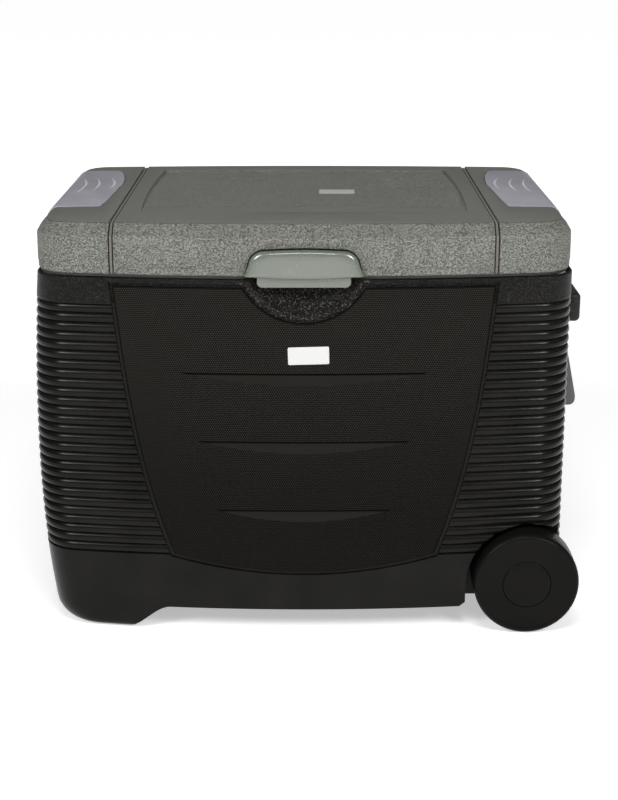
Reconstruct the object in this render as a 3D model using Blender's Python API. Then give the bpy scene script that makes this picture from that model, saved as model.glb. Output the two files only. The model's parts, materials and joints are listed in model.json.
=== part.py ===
"""Wheeled compressor cooler fridge: a black ribbed cabinet on one moulded foot and two wheels,
under a thick grey lid with two pocket flaps, with a front latch and a pull-up handle at the wheel end.

X runs along the cooler towards the wheels, Y towards the hinges, Z up. All sizes are in metres.
Shapes are drawn about the cabinet's own centre; the cabinet empty then puts the whole cooler's
bounding box centre over the world origin, with the wheels and the foot on the floor at z = 0.
"""
import math

import bmesh
import bpy
from mathutils import Matrix, Vector

# --- fits ---------------------------------------------------------------------------------
GAP = 0.0004              # between two fixed pieces that touch
RUN = 0.0008              # between a moving piece and its neighbour
WALL = 0.003              # moulded walls of the cabinet and the lid
EPS = 0.03                # how far a cutter passes the material it cuts

# --- cabinet outline ----------------------------------------------------------------------
BODY_RIGHT = 0.272        # right end wall, from the centre
BODY_LEFT = 0.2705        # left end wall at the rim
LEFT_BULGE = 0.0075       # how far the left end swells at mid height
LEFT_TUCK = 0.016         # how far the left end draws in at the floor
BULGE_Z = 0.200           # height where the left end is widest
FRONT_CORNER = 0.1925     # front plane at the corners
FRONT_BOW = 0.018         # how far the front bows out at the middle
BACK = 0.1985             # flat back wall
CORNER_FRONT = 0.042
CORNER_BACK = 0.034
BODY_TOP = 0.377
FOOT_BOTTOM = 0.001       # the rubber pads stand this far below the moulded foot
FOOT_CORNER = 0.020       # rounding of the foot's outer lower corner
EDGE_ROUND = 0.006        # rounding of the lower front and back edges
BELLY_Z = 0.0265          # underside between the foot and the wheels
FOOT_INNER_X = -0.190     # where the foot's flat sole ends
FOOT_RISE = 0.050         # length of the curve from the sole up to the belly
FOOT_PAD_X = (-0.222, -0.192)
FOOT_PAD_Y = {"front": (-0.165, -0.115), "rear": (0.120, 0.170)}
PAD_CORNER = 0.006
TUCK_POWER = 2.2          # how late the left end's draw-in sets in
EDGE_LEAST = 0.001        # the least rounding left on a drawn-in lower edge
HAND_HOLD_HALF = 0.060    # the carrying recess in the left end wall
HAND_HOLD_Z = (0.296, 0.334)
HAND_HOLD_CORNER = 0.012
HAND_HOLD_HOLE = 0.020    # how far the hole in the shell is cut in
HAND_HOLD_CUP = 0.0260
CUP_WALL = 0.0018
CUP_PROUD = 0.0006

# --- lid ----------------------------------------------------------------------------------
LID_HALF = 0.2695
LID_BOTTOM = 0.380
LID_SHOULDER = 0.418
LID_TOP = 0.429
LID_CROWN = 0.002
LID_INSET = 0.001         # lid front behind the cabinet front
BEVEL_FRONT = 0.015
BEVEL_END = 0.0075
BEVEL_DROP = 0.0035       # the bevel's middle level below the lid's top
BEVEL_FRONT_SHARE = 0.62  # how much of each bevel is done at that level
BEVEL_END_SHARE = 0.38
SEAM_X = 0.1905           # seams between the lid's middle cover and its two end covers
SEAM_WIDTH = 0.0032
SEAM_DEPTH = 0.0033
TRAY_X = 0.167            # half length of the shallow field on the middle cover
TRAY_FRONT_Y = -0.135
TRAY_BACK_Y = 0.156
TRAY_DEPTH = 0.0012
TRAY_CORNER = 0.006
LID_FRAME_WALL = 0.002
LINER_SHEET = 0.002
FRAME_RISE = 0.0035       # the frame's lower edge above the lid's
FOAM_RISE = 0.0032
PANEL_RISE = (0.0004, 0.0028)    # the lid liner's edge strip, above the lid's lower edge
PLUG_INSET = 0.0045       # the lid liner's plug inside the food compartment's walls
PLUG_DROP = 0.0100
PLUG_TOP = 0.0020
SEAL_GROW = (0.0040, 0.0140)     # inner and outer edge of the lid seal, outside the compartment

# --- pocket flaps on the lid's ends ---------------------------------------------------------
FLAP_FRONT_Y = -0.0925
FLAP_STEP_Y = 0.0335
FLAP_BACK_Y = 0.1475
FLAP_INNER_X = 0.2045     # inner edge behind the step, next to the hinge
FLAP_STEP_X = 0.2068
FLAP_FRONT_X = 0.2165
FLAP_CORNER = 0.013
FLAP_PROUD = 0.0010
FLAP_SUNK = 0.0014
FLAP_LIP_Z = 0.404        # how far the flap wraps down the lid's end
FLAP_HINGE_SLOT = 0.0022
POCKET_X = (0.2145, 0.2550)
POCKET_Y = (-0.0800, 0.1360)
POCKET_FLOOR = 0.397
POCKET_WALL = 0.0015
POCKET_CORNER = 0.006

# --- latch ----------------------------------------------------------------------------------
LATCH_TOP = 0.4065
LATCH_BOTTOM = 0.3785
LATCH_HALF_BOTTOM = 0.0585
LATCH_HALF_TOP = 0.0525
LATCH_CORNER = 0.016
LATCH_PROUD = 0.0100      # in front of the lid's front wall
LATCH_WALL = 0.0022
LATCH_PIVOT_Z = 0.4000
LATCH_PIN_R = 0.0012
CATCH_HALF = 0.0462
CATCH_BOTTOM = 0.3700
CATCH_THICK = 0.0032
CATCH_TOP = 0.3905
CATCH_CORNER = 0.0055
STRIKE_HALF = 0.018
STRIKE_Z = (0.3735, 0.3755)
LATCH_SIDE_BACK = 0.0028   # the latch sides reach this far into the lid, its top edge stops short
LATCH_TOP_SHORT = 0.0012
CATCH_NOSE = 0.0034
STRIKE_FRONT = 0.0041
STRIKE_REACH = 0.80       # how far back the strike tongue runs, as a share of the scoop's depth
NOSE_DROP = (0.0032, 0.0007)     # the nose's lower and upper face below the strike
NOSE_SHORT = 0.003        # the nose ends this far inside the tongue's ends
LATCH_BITE = 0.0012       # gap round the latch in the lid's front
LATCH_SKIRT = 0.0012      # how far the latch's sides hang below its face
LATCH_FACE = ((0.0, 0.0052), (0.0020, 0.0080), (0.0065, LATCH_PROUD))   # draw-in and depth
LATCH_LEAN = 0.12         # slope of the latch's sides, as an angle
LATCH_SIDE_SHIFT = 0.002
LATCH_CROWN = 0.0012
LATCH_CROWN_X = (0.022, 0.008, -0.008, -0.022)
LATCH_CROWN_HALF = 0.035
LATCH_TURN_ROOM = 0.003   # the back of the latch changes depth over this height each way
LATCH_PIN_Y = 0.0015      # the pin's axis in front of the lid's front wall
LATCH_PIN_SHORT = 0.0038
LATCH_ROOM = ((0.0022, 0.0045), (0.0055, LATCH_PROUD - 0.0022))
PLATE_HALF = 0.032        # the latch's bearing plate on the lid frame
PLATE_BOTTOM = 0.3925
PLATE_PROUD = 0.0012
EAR_X = (-0.030, 0.028)
EAR_THICK = 0.002
EAR_FRONT = 0.0030
EAR_BACK = 0.0020
EAR_RISE = (0.0026, 0.0024)

# --- front panel, scoop and crescents -------------------------------------------------------
PANEL_TOP_Z = 0.369
PANEL_BOTTOM_Z = 0.087
PANEL_TOP_X = 0.1905
PANEL_SIDE_LINEAR = 0.0295   # the panel's sides draw in by these two amounts, one in
PANEL_SIDE_CUBIC = 0.0265    # proportion to the height and one to its cube
PANEL_ARC_DROP = 0.0185
PANEL_THICK = 0.002
PANEL_SEAM = 0.0022
SCOOP_CENTRE_Z = 0.402
SCOOP_RADIUS = 0.0605
SCOOP_DEPTH = 0.024
SCOOP_RIM = 0.008
CRESCENTS = ((0.2815, 0.1265), (0.2100, 0.1105), (0.1365, 0.0920))  # top edge height, half length
CRESCENT_DROP = 0.0130
CRESCENT_DEPTH = 0.0014
PANEL_CUT_Y = -0.120      # how far back the cutters of the front panel reach
CRESCENT_CUT_Y = -0.150

# --- wheels ---------------------------------------------------------------------------------
WHEEL_X = 0.231
WHEEL_R = 0.0547
WHEEL_WIDTH = 0.038
WHEEL_FRONT_FACE = 0.2125    # outer face of the front wheel, towards the front
WHEEL_BACK_FACE = 0.2010     # outer face of the rear wheel, towards the back
WELL_GAP = 0.0055
WELL_WIDE = 0.0080        # the well's radius beyond the wheel's
WELL_DROP = 0.0030        # the well's centre below the axle
WELL_CHAMFER = (0.0060, 0.0045)  # the slanted corner where the well meets the underside
AXLE_R = 0.004
AXLE_BORE = 0.0044
CAP_R = 0.0248
CAP_DEPTH = 0.0056        # the cap's back inside the wheel's outer face
CAP_PROFILE = ((CAP_R, 0.0018), (CAP_R - 0.002, 0.0008), (0.010, 0.0), (0.002, -0.0001))
WHEEL_POCKET = 0.0060     # depth of the cap's seat
WHEEL_TREAD = ((0.0070, 0.0006), (0.0030, 0.0016), (0.0008, 0.0042), (0.0, 0.0080))
RIM_BACK = 0.003
RIM_WALL = 0.006
DISC_BACK = ((WHEEL_R - 0.008, 0.0100), (0.0140, 0.0105))
HUB_BACK_R = 0.0110
AXLE_SHORT = 0.0064       # the axle ends this far inside each wheel's outer face

# --- pull handle ----------------------------------------------------------------------------
BAY_X = 0.2695            # floor of the shallow bay in the right end wall
BAY_HALF = 0.1260
BAY_BOTTOM = 0.048
ARM_Y = (0.076, 0.096)
ARM_X = (0.2714, 0.2770)
ARM_BOTTOM = 0.062
CHANNEL_WALL = 0.0020
CHANNEL_Z = (0.078, 0.302)
GUIDE_STRIP = 0.016        # height of the strip that joins the two channels
GRIP_HALF = 0.1235
GRIP_Z = (0.3135, 0.344)
GRIP_OUT = 0.288
GRIP_ROUND = 0.009
GRIP_EASE = 0.002
GRIP_SECTIONS = ((-1.0, 0.80), (-0.985, 0.93), (-0.955, 1.0), (0.955, 1.0), (0.985, 0.93), (1.0, 0.80))
ARM_SOCKET = 0.014        # how far the arms run up into the grip
FINGER_HALF = 0.052
FINGER_Z = (0.3135, 0.3620)
FINGER_DEPTH = 0.022
FINGER_CORNER = 0.008

# --- socket cover and what it covers --------------------------------------------------------
COVER_HALF = 0.0700
COVER_AXIS_X = 0.2742
COVER_AXIS_Z = 0.3085
COVER_BARREL_R = 0.0030
COVER_PIN_R = 0.0011
COVER_OUT = 0.2955
COVER_LIP_Z = 0.2180
COVER_BOTTOM = 0.2070
COVER_WALL = 0.0020
COVER_ROUND = 0.0065      # rounding of the hood's lower front edge
COVER_NECK = 0.0022
COVER_DROP = 0.0040
COVER_THROAT = 0.0055
CABLE_Y = (0.036, 0.056)
PIN_OVERHANG = 0.0018
EAR_OVERHANG = 0.0022
PANEL_PLATE_X = (0.2585, 0.2610)
SOCKET_HALF = 0.0640
SOCKET_Z = (0.2200, 0.2980)
SOCKET_LAP = 0.004        # how far the socket panel laps behind the wall
SOCKET_PROUD = 0.0012
SOCKET_BACK = 0.240
SOCKET_BORE_X = 0.244
SOCKET_MID_Z = 0.259
DC_R = 0.0112
DC_BORE_R = 0.0085
AC_HALF = (0.0128, 0.0098)
AC_BORE_HALF = (0.0100, 0.0072)
WINDOW_Y = (-0.0500, -0.0100)
WINDOW_Z = (0.2640, 0.2840)
WINDOW_X = (0.0005, 0.0004)      # the display glass, inside the plate's back and proud of its face
BUTTON_Y = {"power_button": -0.046, "down_button": -0.030, "up_button": -0.014}
BUTTON_Z = 0.247
BUTTON_R = 0.0055
BUTTON_PROUD = 0.0020
DC_SOCKET_Y = 0.046
AC_SOCKET_Y = 0.016

# --- food compartment -----------------------------------------------------------------------
CAVITY_X = (-0.2320, 0.1180)
CAVITY_Y = (-0.1620, 0.1580)
CAVITY_FLOOR = 0.0780
CAVITY_CORNER = 0.020
FLANGE_Z = (0.3715, 0.3742)
FOAM_SLACK = 0.0022       # room round the liner for the evaporator sheet
EVAPORATOR_SHEET = 0.0012
EVAPORATOR_Z = (0.125, 0.330)
BULKHEAD_X = (0.1480, 0.1500)
BULKHEAD_FRONT = 0.004    # the bulkhead's front edge behind the cabinet's front plane
HAND_HOLD_FOAM = 0.0285

# --- machine compartment --------------------------------------------------------------------
DECK_Z = 0.0640
DECK_SHEET = 0.0015
COMPRESSOR_X = 0.2070
COMPRESSOR_RX = 0.0480
COMPRESSOR_RY = 0.0640
COMPRESSOR_Z = (0.0790, 0.1880)
COMPRESSOR_PROFILE = (    # share of the radius, share of the height
    (0.55, 0.0), (0.86, 0.05), (0.98, 0.16), (1.0, 0.40),
    (1.0, 0.62), (0.93, 0.80), (0.74, 0.93), (0.40, 1.0),
)
PLATE_LAP = 0.003
PLATE_REACH = 0.012
PLATE_CORNER = 0.010
MOUNT_HEIGHT = 0.0090
MOUNT_HALF_X = 0.044
MOUNT_Y = 0.066
MOUNT_HALF_Y = 0.009
MOUNT_CORNER = 0.008
DECK_MARGIN = 0.003
DECK_Y = (-0.150, 0.140)
FAN_X = 0.2060
FAN_Z = 0.2550
FAN_FRAME = 0.0840
FAN_Y = (0.1100, 0.1290)
FAN_BORE_R = 0.0385
FAN_CORNER = 0.006
SPIDER_HALF = 0.002       # half width of the bars across the fan's back
SPIDER_Y = (0.0035, 0.0005)      # their faces in front of the fan frame's back
HUB_R = 0.0140
HUB_Y = (0.001, 0.0045)
BLADES = 7
BLADE_ROOT = 0.012
BLADE_TIP_GAP = 0.0018
BLADE_HALF = (0.0009, 0.0085)
BLADE_PITCH = 52          # degrees
FINS = 15
FIN_SLOT = 0.32           # half the gap between two fins, as a share of their pitch
FIN_BASE = 0.006
DRIER_CENTRE = (0.166, -0.090)
DRIER_PROFILE = ((0.003, 0.105), (0.009, 0.113), (0.009, 0.185), (0.003, 0.193))
PIPE_R = 0.003
SUCTION_PATH = (
    (0.1560, 0.060, 0.300), (0.1575, 0.075, 0.290), (0.1600, 0.085, 0.255),
    (0.1600, 0.086, 0.210), (0.1640, 0.080, 0.180), (0.1720, 0.072, 0.165),
)
DISCHARGE_PATH = (
    (0.190, -0.0640, 0.170), (0.186, -0.073, 0.188), (0.175, -0.085, 0.203),
    (0.166, -0.090, 0.203), (0.166, -0.090, 0.1936),
)
CONTROLLER_X = (0.158, 0.200)
SUPPLY_X = (0.206, 0.248)
BOX_Y = (-0.176, -0.108)
BOX_Z = (0.132, 0.225)
BOX_CORNER = 0.004
CONDENSER_Y = (0.1330, 0.1680)
GRILLE_X = (0.1560, 0.2480)
GRILLE_Z = (0.1350, 0.3350)
INTAKE_Z = (0.1300, 0.1950)
INTAKE_HALF = 0.0640
GRILLE_LAP = 0.008        # how far each grille laps over its opening
INTAKE_LAP = 0.006
GRILLE_THICK = 0.003
INTAKE_THICK = 0.0028
GRILLE_SLOTS = 16
INTAKE_SLOTS = 6
GRILLE_MARGIN = 0.010
INTAKE_MARGIN = 0.008
SLOT_SHARE = 0.52         # a slot's height, as a share of the slots' pitch

# --- lid hinges -----------------------------------------------------------------------------
HINGE_X = 0.150
HINGE_HALF = 0.022
HINGE_Y = 0.2065
HINGE_Z = 0.3785
HINGE_BARREL_R = 0.0048
HINGE_PIN_R = 0.0020
LEAF_THICK = 0.0020
LEAF_GAP = 0.0056         # between a leaf and the hinge's axis
CABINET_LEAF = 0.036      # how far each leaf reaches from the axis
LID_LEAF = 0.034
PIN_PLAY = 0.0004
PIN_END = 0.001
WEB_BACK = 0.0012

# --- how far the cooler reaches each way, which centres it on the origin ----------------------
REACH_LEFT = BODY_LEFT + LEFT_BULGE
REACH_RIGHT = COVER_OUT
LID_FRONT_MIDDLE = FRONT_CORNER + FRONT_BOW - LID_INSET
REACH_FRONT = LID_FRONT_MIDDLE + LATCH_PROUD
REACH_BACK = HINGE_Y + HINGE_BARREL_R
CENTRE_SHIFT = Vector(((REACH_LEFT - REACH_RIGHT) / 2, (REACH_FRONT - REACH_BACK) / 2, 0.0))

CORNER_STEPS = 6
EDGE_STEPS = 14
EDGE_LEVELS = (0.0, 0.0012, 0.0035, 0.008, 0.016, 0.028)   # above the cabinet's lowest point
BODY_LEVELS = (0.055, 0.090, 0.130, 0.200, 0.250, 0.300, 0.345)


# --- shapes ---------------------------------------------------------------------------------
def to_mesh(bm):
    """A mesh from a bmesh, with its faces pointing out and its quads split, so every face is flat."""
    bmesh.ops.recalc_face_normals(bm, faces=bm.faces)
    bmesh.ops.triangulate(bm, faces=[face for face in bm.faces if len(face.verts) == 4])
    mesh = bpy.data.meshes.new("shape")
    bm.to_mesh(mesh)
    bm.free()
    return mesh


def loft(rings, strip_caps=False):
    """A closed skin through rings of equal length. Strip caps join a ring's two halves across."""
    bm = bmesh.new()
    rows = [[bm.verts.new(point) for point in ring] for ring in rings]
    count = len(rows[0])
    for lower, upper in zip(rows, rows[1:]):
        for i in range(count):
            j = (i + 1) % count
            bm.faces.new((lower[i], lower[j], upper[j], upper[i]))
    for row in (rows[0], rows[-1]):
        if strip_caps:
            half = count // 2
            for i in range(half - 1):
                bm.faces.new((row[i], row[i + 1], row[count - 2 - i], row[count - 1 - i]))
        else:
            bm.faces.new(row)
    return to_mesh(bm)


def prism(outline, axis, low, high):
    """An outline extruded along an axis. Its points are the two other coordinates, in X, Y, Z order."""
    place = {
        "x": lambda p, d: (d, p[0], p[1]),
        "y": lambda p, d: (p[0], d, p[1]),
        "z": lambda p, d: (p[0], p[1], d),
    }[axis]
    return loft([[place(p, d) for p in outline] for d in (low, high)])


def box(x, y, z):
    """A block between pairs of limits."""
    return prism([(x[0], y[0]), (x[1], y[0]), (x[1], y[1]), (x[0], y[1])], "z", z[0], z[1])


def circle(cx, cy, radius, steps, start=0.0, sweep=math.tau):
    """Points round a circle, or along an arc whose two ends are both given."""
    last = steps if abs(sweep - math.tau) < 1e-9 else steps - 1
    turns = [start + sweep * i / last for i in range(steps)]
    return [(cx + radius * math.cos(t), cy + radius * math.sin(t)) for t in turns]


def cylinder(axis, centre, radius, low, high, steps=20):
    """A round bar along an axis, centred on the two other coordinates."""
    return prism(circle(centre[0], centre[1], radius, steps), axis, low, high)


def turned(axis, centre, profile, steps=32, closed=False):
    """A turned solid: profile holds (radius, distance along the axis). Closed profiles make rings."""
    rings = []
    for radius, along in profile:
        points = circle(centre[0], centre[1], radius, steps)
        if axis == "y":
            rings.append([(px, along, pz) for px, pz in points])
        else:
            rings.append([(px, py, along) for px, py in points])
    if not closed:
        return loft(rings)
    bm = bmesh.new()
    rows = [[bm.verts.new(point) for point in ring] for ring in rings]
    for lower, upper in zip(rows, rows[1:] + rows[:1]):
        for i in range(steps):
            j = (i + 1) % steps
            bm.faces.new((lower[i], lower[j], upper[j], upper[i]))
    return to_mesh(bm)


def rounded(x, y, radius, steps=5):
    """A rectangle with round corners, counter-clockwise from its lower left."""
    points = []
    for cx, cy, start in (
        (x[0] + radius, y[0] + radius, math.pi),
        (x[1] - radius, y[0] + radius, 1.5 * math.pi),
        (x[1] - radius, y[1] - radius, 0.0),
        (x[0] + radius, y[1] - radius, 0.5 * math.pi),
    ):
        points += circle(cx, cy, radius, steps, start, math.pi / 2)
    return points


def plan(left, right, front, back, bow, corner_front, corner_back):
    """The cooler's outline seen from above. Its first half runs along the front, its second back."""
    middle = (left + right) / 2
    half = middle - left - corner_front
    tilt = 2 * math.atan2(bow, half)
    bow_radius = corner_front + half / math.sin(tilt)
    bow_centre = front + corner_front + (bow_radius - corner_front) * math.cos(tilt)
    down = 1.5 * math.pi
    swing = math.pi / 2 - tilt
    centre = (left + corner_front, front + corner_front)
    points = circle(*centre, corner_front, CORNER_STEPS + 1, math.pi, swing)
    for i in range(1, EDGE_STEPS):
        turn = down - tilt + 2 * tilt * i / EDGE_STEPS
        points.append((middle + bow_radius * math.cos(turn), bow_centre + bow_radius * math.sin(turn)))
    centre = (right - corner_front, front + corner_front)
    points += circle(*centre, corner_front, CORNER_STEPS + 1, down + tilt, swing)
    start, end = right - corner_back, left + corner_back
    points += circle(start, back - corner_back, corner_back, CORNER_STEPS + 1, 0.0, math.pi / 2)
    points += [(start + (end - start) * i / EDGE_STEPS, back) for i in range(1, EDGE_STEPS)]
    points += circle(end, back - corner_back, corner_back, CORNER_STEPS + 1, math.pi / 2, math.pi / 2)
    return points


def corner_cut(radius, height):
    """How far a quarter round of this radius has drawn in at this height above its lowest point."""
    if height >= radius:
        return 0.0
    return radius - math.sqrt(max(radius**2 - (radius - height) ** 2, 0.0))


def body_left(z):
    """The left end wall: it swells at mid height and draws in towards the floor."""
    if z >= BULGE_Z:
        rise = (z - BULGE_Z) / (BODY_TOP - BULGE_Z)
        return -BODY_LEFT - LEFT_BULGE * (1 - rise**2)
    return -BODY_LEFT - LEFT_BULGE + LEFT_TUCK * ((BULGE_Z - z) / BULGE_Z) ** TUCK_POWER


def body_ring(z, inset, floor):
    """One level of the cabinet, drawn in by inset; floor is where its rounded lower edge starts."""
    edge = corner_cut(max(EDGE_ROUND - inset, EDGE_LEAST), z - floor)
    foot = corner_cut(FOOT_CORNER - inset, z - floor)
    outline = plan(
        body_left(z) + inset + foot,
        BODY_RIGHT - inset - edge,
        -FRONT_CORNER + inset + edge,
        BACK - inset - edge,
        FRONT_BOW,
        CORNER_FRONT - inset - edge,
        CORNER_BACK - inset - edge,
    )
    return [(x, y, z) for x, y in outline]


def body_solid(inset, floor, top):
    """The cabinet's outer shape as a solid, drawn in by inset."""
    levels = [floor + rise for rise in EDGE_LEVELS]
    levels += [z for z in BODY_LEVELS if levels[-1] < z < top] + [top]
    return loft([body_ring(z, inset, floor) for z in levels], strip_caps=True)


def lid_ring(z, inset, front, end):
    """One level of the lid, drawn in by inset all round, by front at the front and by end elsewhere."""
    outline = plan(
        -LID_HALF + inset + end,
        LID_HALF - inset - end,
        -FRONT_CORNER + LID_INSET + inset + front,
        BACK - LID_INSET - inset - end,
        FRONT_BOW,
        CORNER_FRONT - inset - end,
        CORNER_BACK - inset - end,
    )
    return [(x, y, z) for x, y in outline]


def lid_solid(inset, bottom):
    """The lid's outer shape as a solid, drawn in by inset on its sides and top."""
    half_front, half_end = BEVEL_FRONT_SHARE * BEVEL_FRONT, BEVEL_END_SHARE * BEVEL_END
    rings = [
        lid_ring(bottom, inset, 0.0, 0.0),
        lid_ring(LID_SHOULDER - inset / 2, inset, 0.0, 0.0),
        lid_ring(LID_TOP - BEVEL_DROP - inset, inset, half_front, half_end),
        lid_ring(LID_TOP - inset, inset, BEVEL_FRONT, BEVEL_END),
    ]
    rings[-1] = [(x, y, z + LID_CROWN * (1 - (x / LID_HALF) ** 2)) for x, y, z in rings[-1]]
    return loft(rings, strip_caps=True)


# --- scene, materials and bodies --------------------------------------------------------------
def clear_scene():
    for obj in list(bpy.data.objects):
        bpy.data.objects.remove(obj, do_unlink=True)


def material(name, colour, roughness, metallic=0.0, alpha=1.0):
    made = bpy.data.materials.new(name)
    made.use_nodes = True
    shader = made.node_tree.nodes["Principled BSDF"]
    shader.inputs["Base Color"].default_value = (*colour, 1.0)
    shader.inputs["Roughness"].default_value = roughness
    shader.inputs["Metallic"].default_value = metallic
    shader.inputs["Alpha"].default_value = alpha
    return made


def body(name, position=(0.0, 0.0, 0.0), parent=None):
    """An empty that carries one rigid body, placed on the axis of its joint."""
    empty = bpy.data.objects.new(name, None)
    bpy.context.scene.collection.objects.link(empty)
    empty["axis_point"] = position
    if parent is None:
        empty.location = CENTRE_SHIFT
    else:
        empty.parent = parent
        empty.location = Vector(position) - Vector(parent["axis_point"])
    return empty


def piece(name, mesh, surface, carrier):
    """One sub-part, drawn about the cabinet's centre and carried by a body."""
    mesh.name = name
    mesh.transform(Matrix.Translation(-Vector(carrier["axis_point"])))
    mesh.materials.append(surface)
    mesh.shade_smooth()
    mesh.set_sharp_from_angle(angle=math.radians(35))
    obj = bpy.data.objects.new(name, mesh)
    bpy.context.scene.collection.objects.link(obj)
    obj.parent = carrier
    return obj


def helper(name, mesh):
    """A cutter, drawn about the cabinet's centre and moved with it."""
    obj = bpy.data.objects.new(name, mesh)
    bpy.context.scene.collection.objects.link(obj)
    obj.location = CENTRE_SHIFT
    obj.hide_render = True
    obj.display_type = "WIRE"
    return obj


def boolean(obj, other, operation="DIFFERENCE"):
    step = obj.modifiers.new(operation.lower(), "BOOLEAN")
    step.operation = operation
    step.object = other
    return obj


def several(meshes):
    """Separate shapes gathered into one mesh, for a cutter with many teeth."""
    bm = bmesh.new()
    for mesh in meshes:
        bm.from_mesh(mesh)
    return to_mesh(bm)


def mirrored(mesh, axis):
    """A copy reflected in the plane across an axis."""
    scale = {"x": (-1, 1, 1), "y": (1, -1, 1)}[axis]
    copy = mesh.copy()
    copy.transform(Matrix.Diagonal((*scale, 1)))
    copy.flip_normals()
    return copy


# --- cabinet shell ------------------------------------------------------------------------------
def belly_profile(rise):
    """The space under the cabinet in X and Z: an S-shaped run from the foot's sole to the belly."""
    steps = 8
    points = [(FOOT_INNER_X - rise, -EPS)]
    for i in range(steps + 1):
        share = i / steps
        ease = share * share * (3 - 2 * share)
        points.append((FOOT_INNER_X - rise + FOOT_RISE * share, (BELLY_Z + rise) * ease))
    points[1] = (FOOT_INNER_X - rise, 0.0)
    points += [(BODY_RIGHT + EPS, BELLY_Z + rise), (BODY_RIGHT + EPS, -EPS)]
    return points


def well_outline(grow):
    """A wheel well in X and Z: an arch over upright sides, with a slanted corner at the underside."""
    radius = WHEEL_R + WELL_WIDE + grow
    centre_z = WHEEL_R - WELL_DROP
    left, right = WHEEL_X - radius, WHEEL_X + radius
    corner = BELLY_Z + WELL_CHAMFER[1] + grow
    arch = circle(WHEEL_X, centre_z, radius, 26, 0.0, math.pi)
    outer = left - WELL_CHAMFER[0]
    foot = [(left, corner), (outer, corner - WELL_CHAMFER[1]), (outer, -EPS)]
    return arch + foot + [(right, -EPS)]


def well_meshes(grow):
    """The two wheel wells, open to the sides, the right end and the floor."""
    front_wall = -WHEEL_FRONT_FACE + WHEEL_WIDTH + WELL_GAP + grow
    back_wall = WHEEL_BACK_FACE - WHEEL_WIDTH - WELL_GAP - grow
    outline = well_outline(grow)
    return [
        prism(outline, "y", -FRONT_CORNER - FRONT_BOW - EPS, front_wall),
        prism(outline, "y", back_wall, BACK + EPS),
    ]


def scoop_mesh(grow):
    """The finger scoop under the latch: a flattened ball sunk into the front wall."""
    bm = bmesh.new()
    bmesh.ops.create_uvsphere(bm, u_segments=28, v_segments=16, radius=1.0)
    size = (SCOOP_RADIUS + grow, SCOOP_DEPTH + grow, SCOOP_RADIUS + grow)
    bmesh.ops.scale(bm, vec=size, verts=bm.verts)
    bmesh.ops.translate(bm, vec=(0.0, -FRONT_CORNER - FRONT_BOW, SCOOP_CENTRE_Z), verts=bm.verts)
    return to_mesh(bm)


def bay_mesh(grow):
    """The shallow bay in the right end wall that the pull handle lies in."""
    y = (-BAY_HALF - grow, BAY_HALF + grow)
    return box((BAY_X - grow, BODY_RIGHT + EPS), y, (BAY_BOTTOM - grow, BODY_TOP + EPS + grow))


def finger_mesh(grow):
    """The pocket behind the grip that leaves room for fingers."""
    half = FINGER_HALF + grow
    outline = rounded((-half, half), (FINGER_Z[0] - grow, FINGER_Z[1] + grow), FINGER_CORNER + grow)
    return prism(outline, "x", BAY_X - FINGER_DEPTH - grow, BODY_RIGHT + EPS)


def hand_hold(grow, depth):
    """The carrying recess in the left end wall."""
    y = (-HAND_HOLD_HALF - grow, HAND_HOLD_HALF + grow)
    z = (HAND_HOLD_Z[0] - grow, HAND_HOLD_Z[1] + grow)
    outline = rounded(y, z, HAND_HOLD_CORNER + grow)
    return prism(outline, "x", -BODY_LEFT - LEFT_BULGE - EPS, -BODY_LEFT - LEFT_BULGE + depth)


def panel_outline(grow):
    """The front panel in X and Z: sides that draw in, a bowed lower edge and a bite under the latch."""
    height = PANEL_TOP_Z - PANEL_BOTTOM_Z
    steps = 7

    def side(i):
        down = i / steps
        draw = PANEL_SIDE_LINEAR * down + PANEL_SIDE_CUBIC * down**3
        return PANEL_TOP_X - draw + grow, PANEL_TOP_Z + grow - (height + grow) * down

    right = [side(i) for i in range(steps + 1)]
    corner_x, corner_z = right[-1]
    bottom = []
    for i in range(1, 12):
        share = 1 - 2 * i / 12
        bottom.append((corner_x * share, corner_z - PANEL_ARC_DROP * (1 - share * share)))
    left = [(-x, z) for x, z in reversed(right)]
    bite = SCOOP_RADIUS + SCOOP_RIM - grow
    reach = math.asin((SCOOP_CENTRE_Z - PANEL_TOP_Z - grow) / bite)
    arc = circle(0.0, SCOOP_CENTRE_Z, bite, 13, math.pi + reach, math.pi - 2 * reach)
    return right + bottom + left + arc


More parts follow.
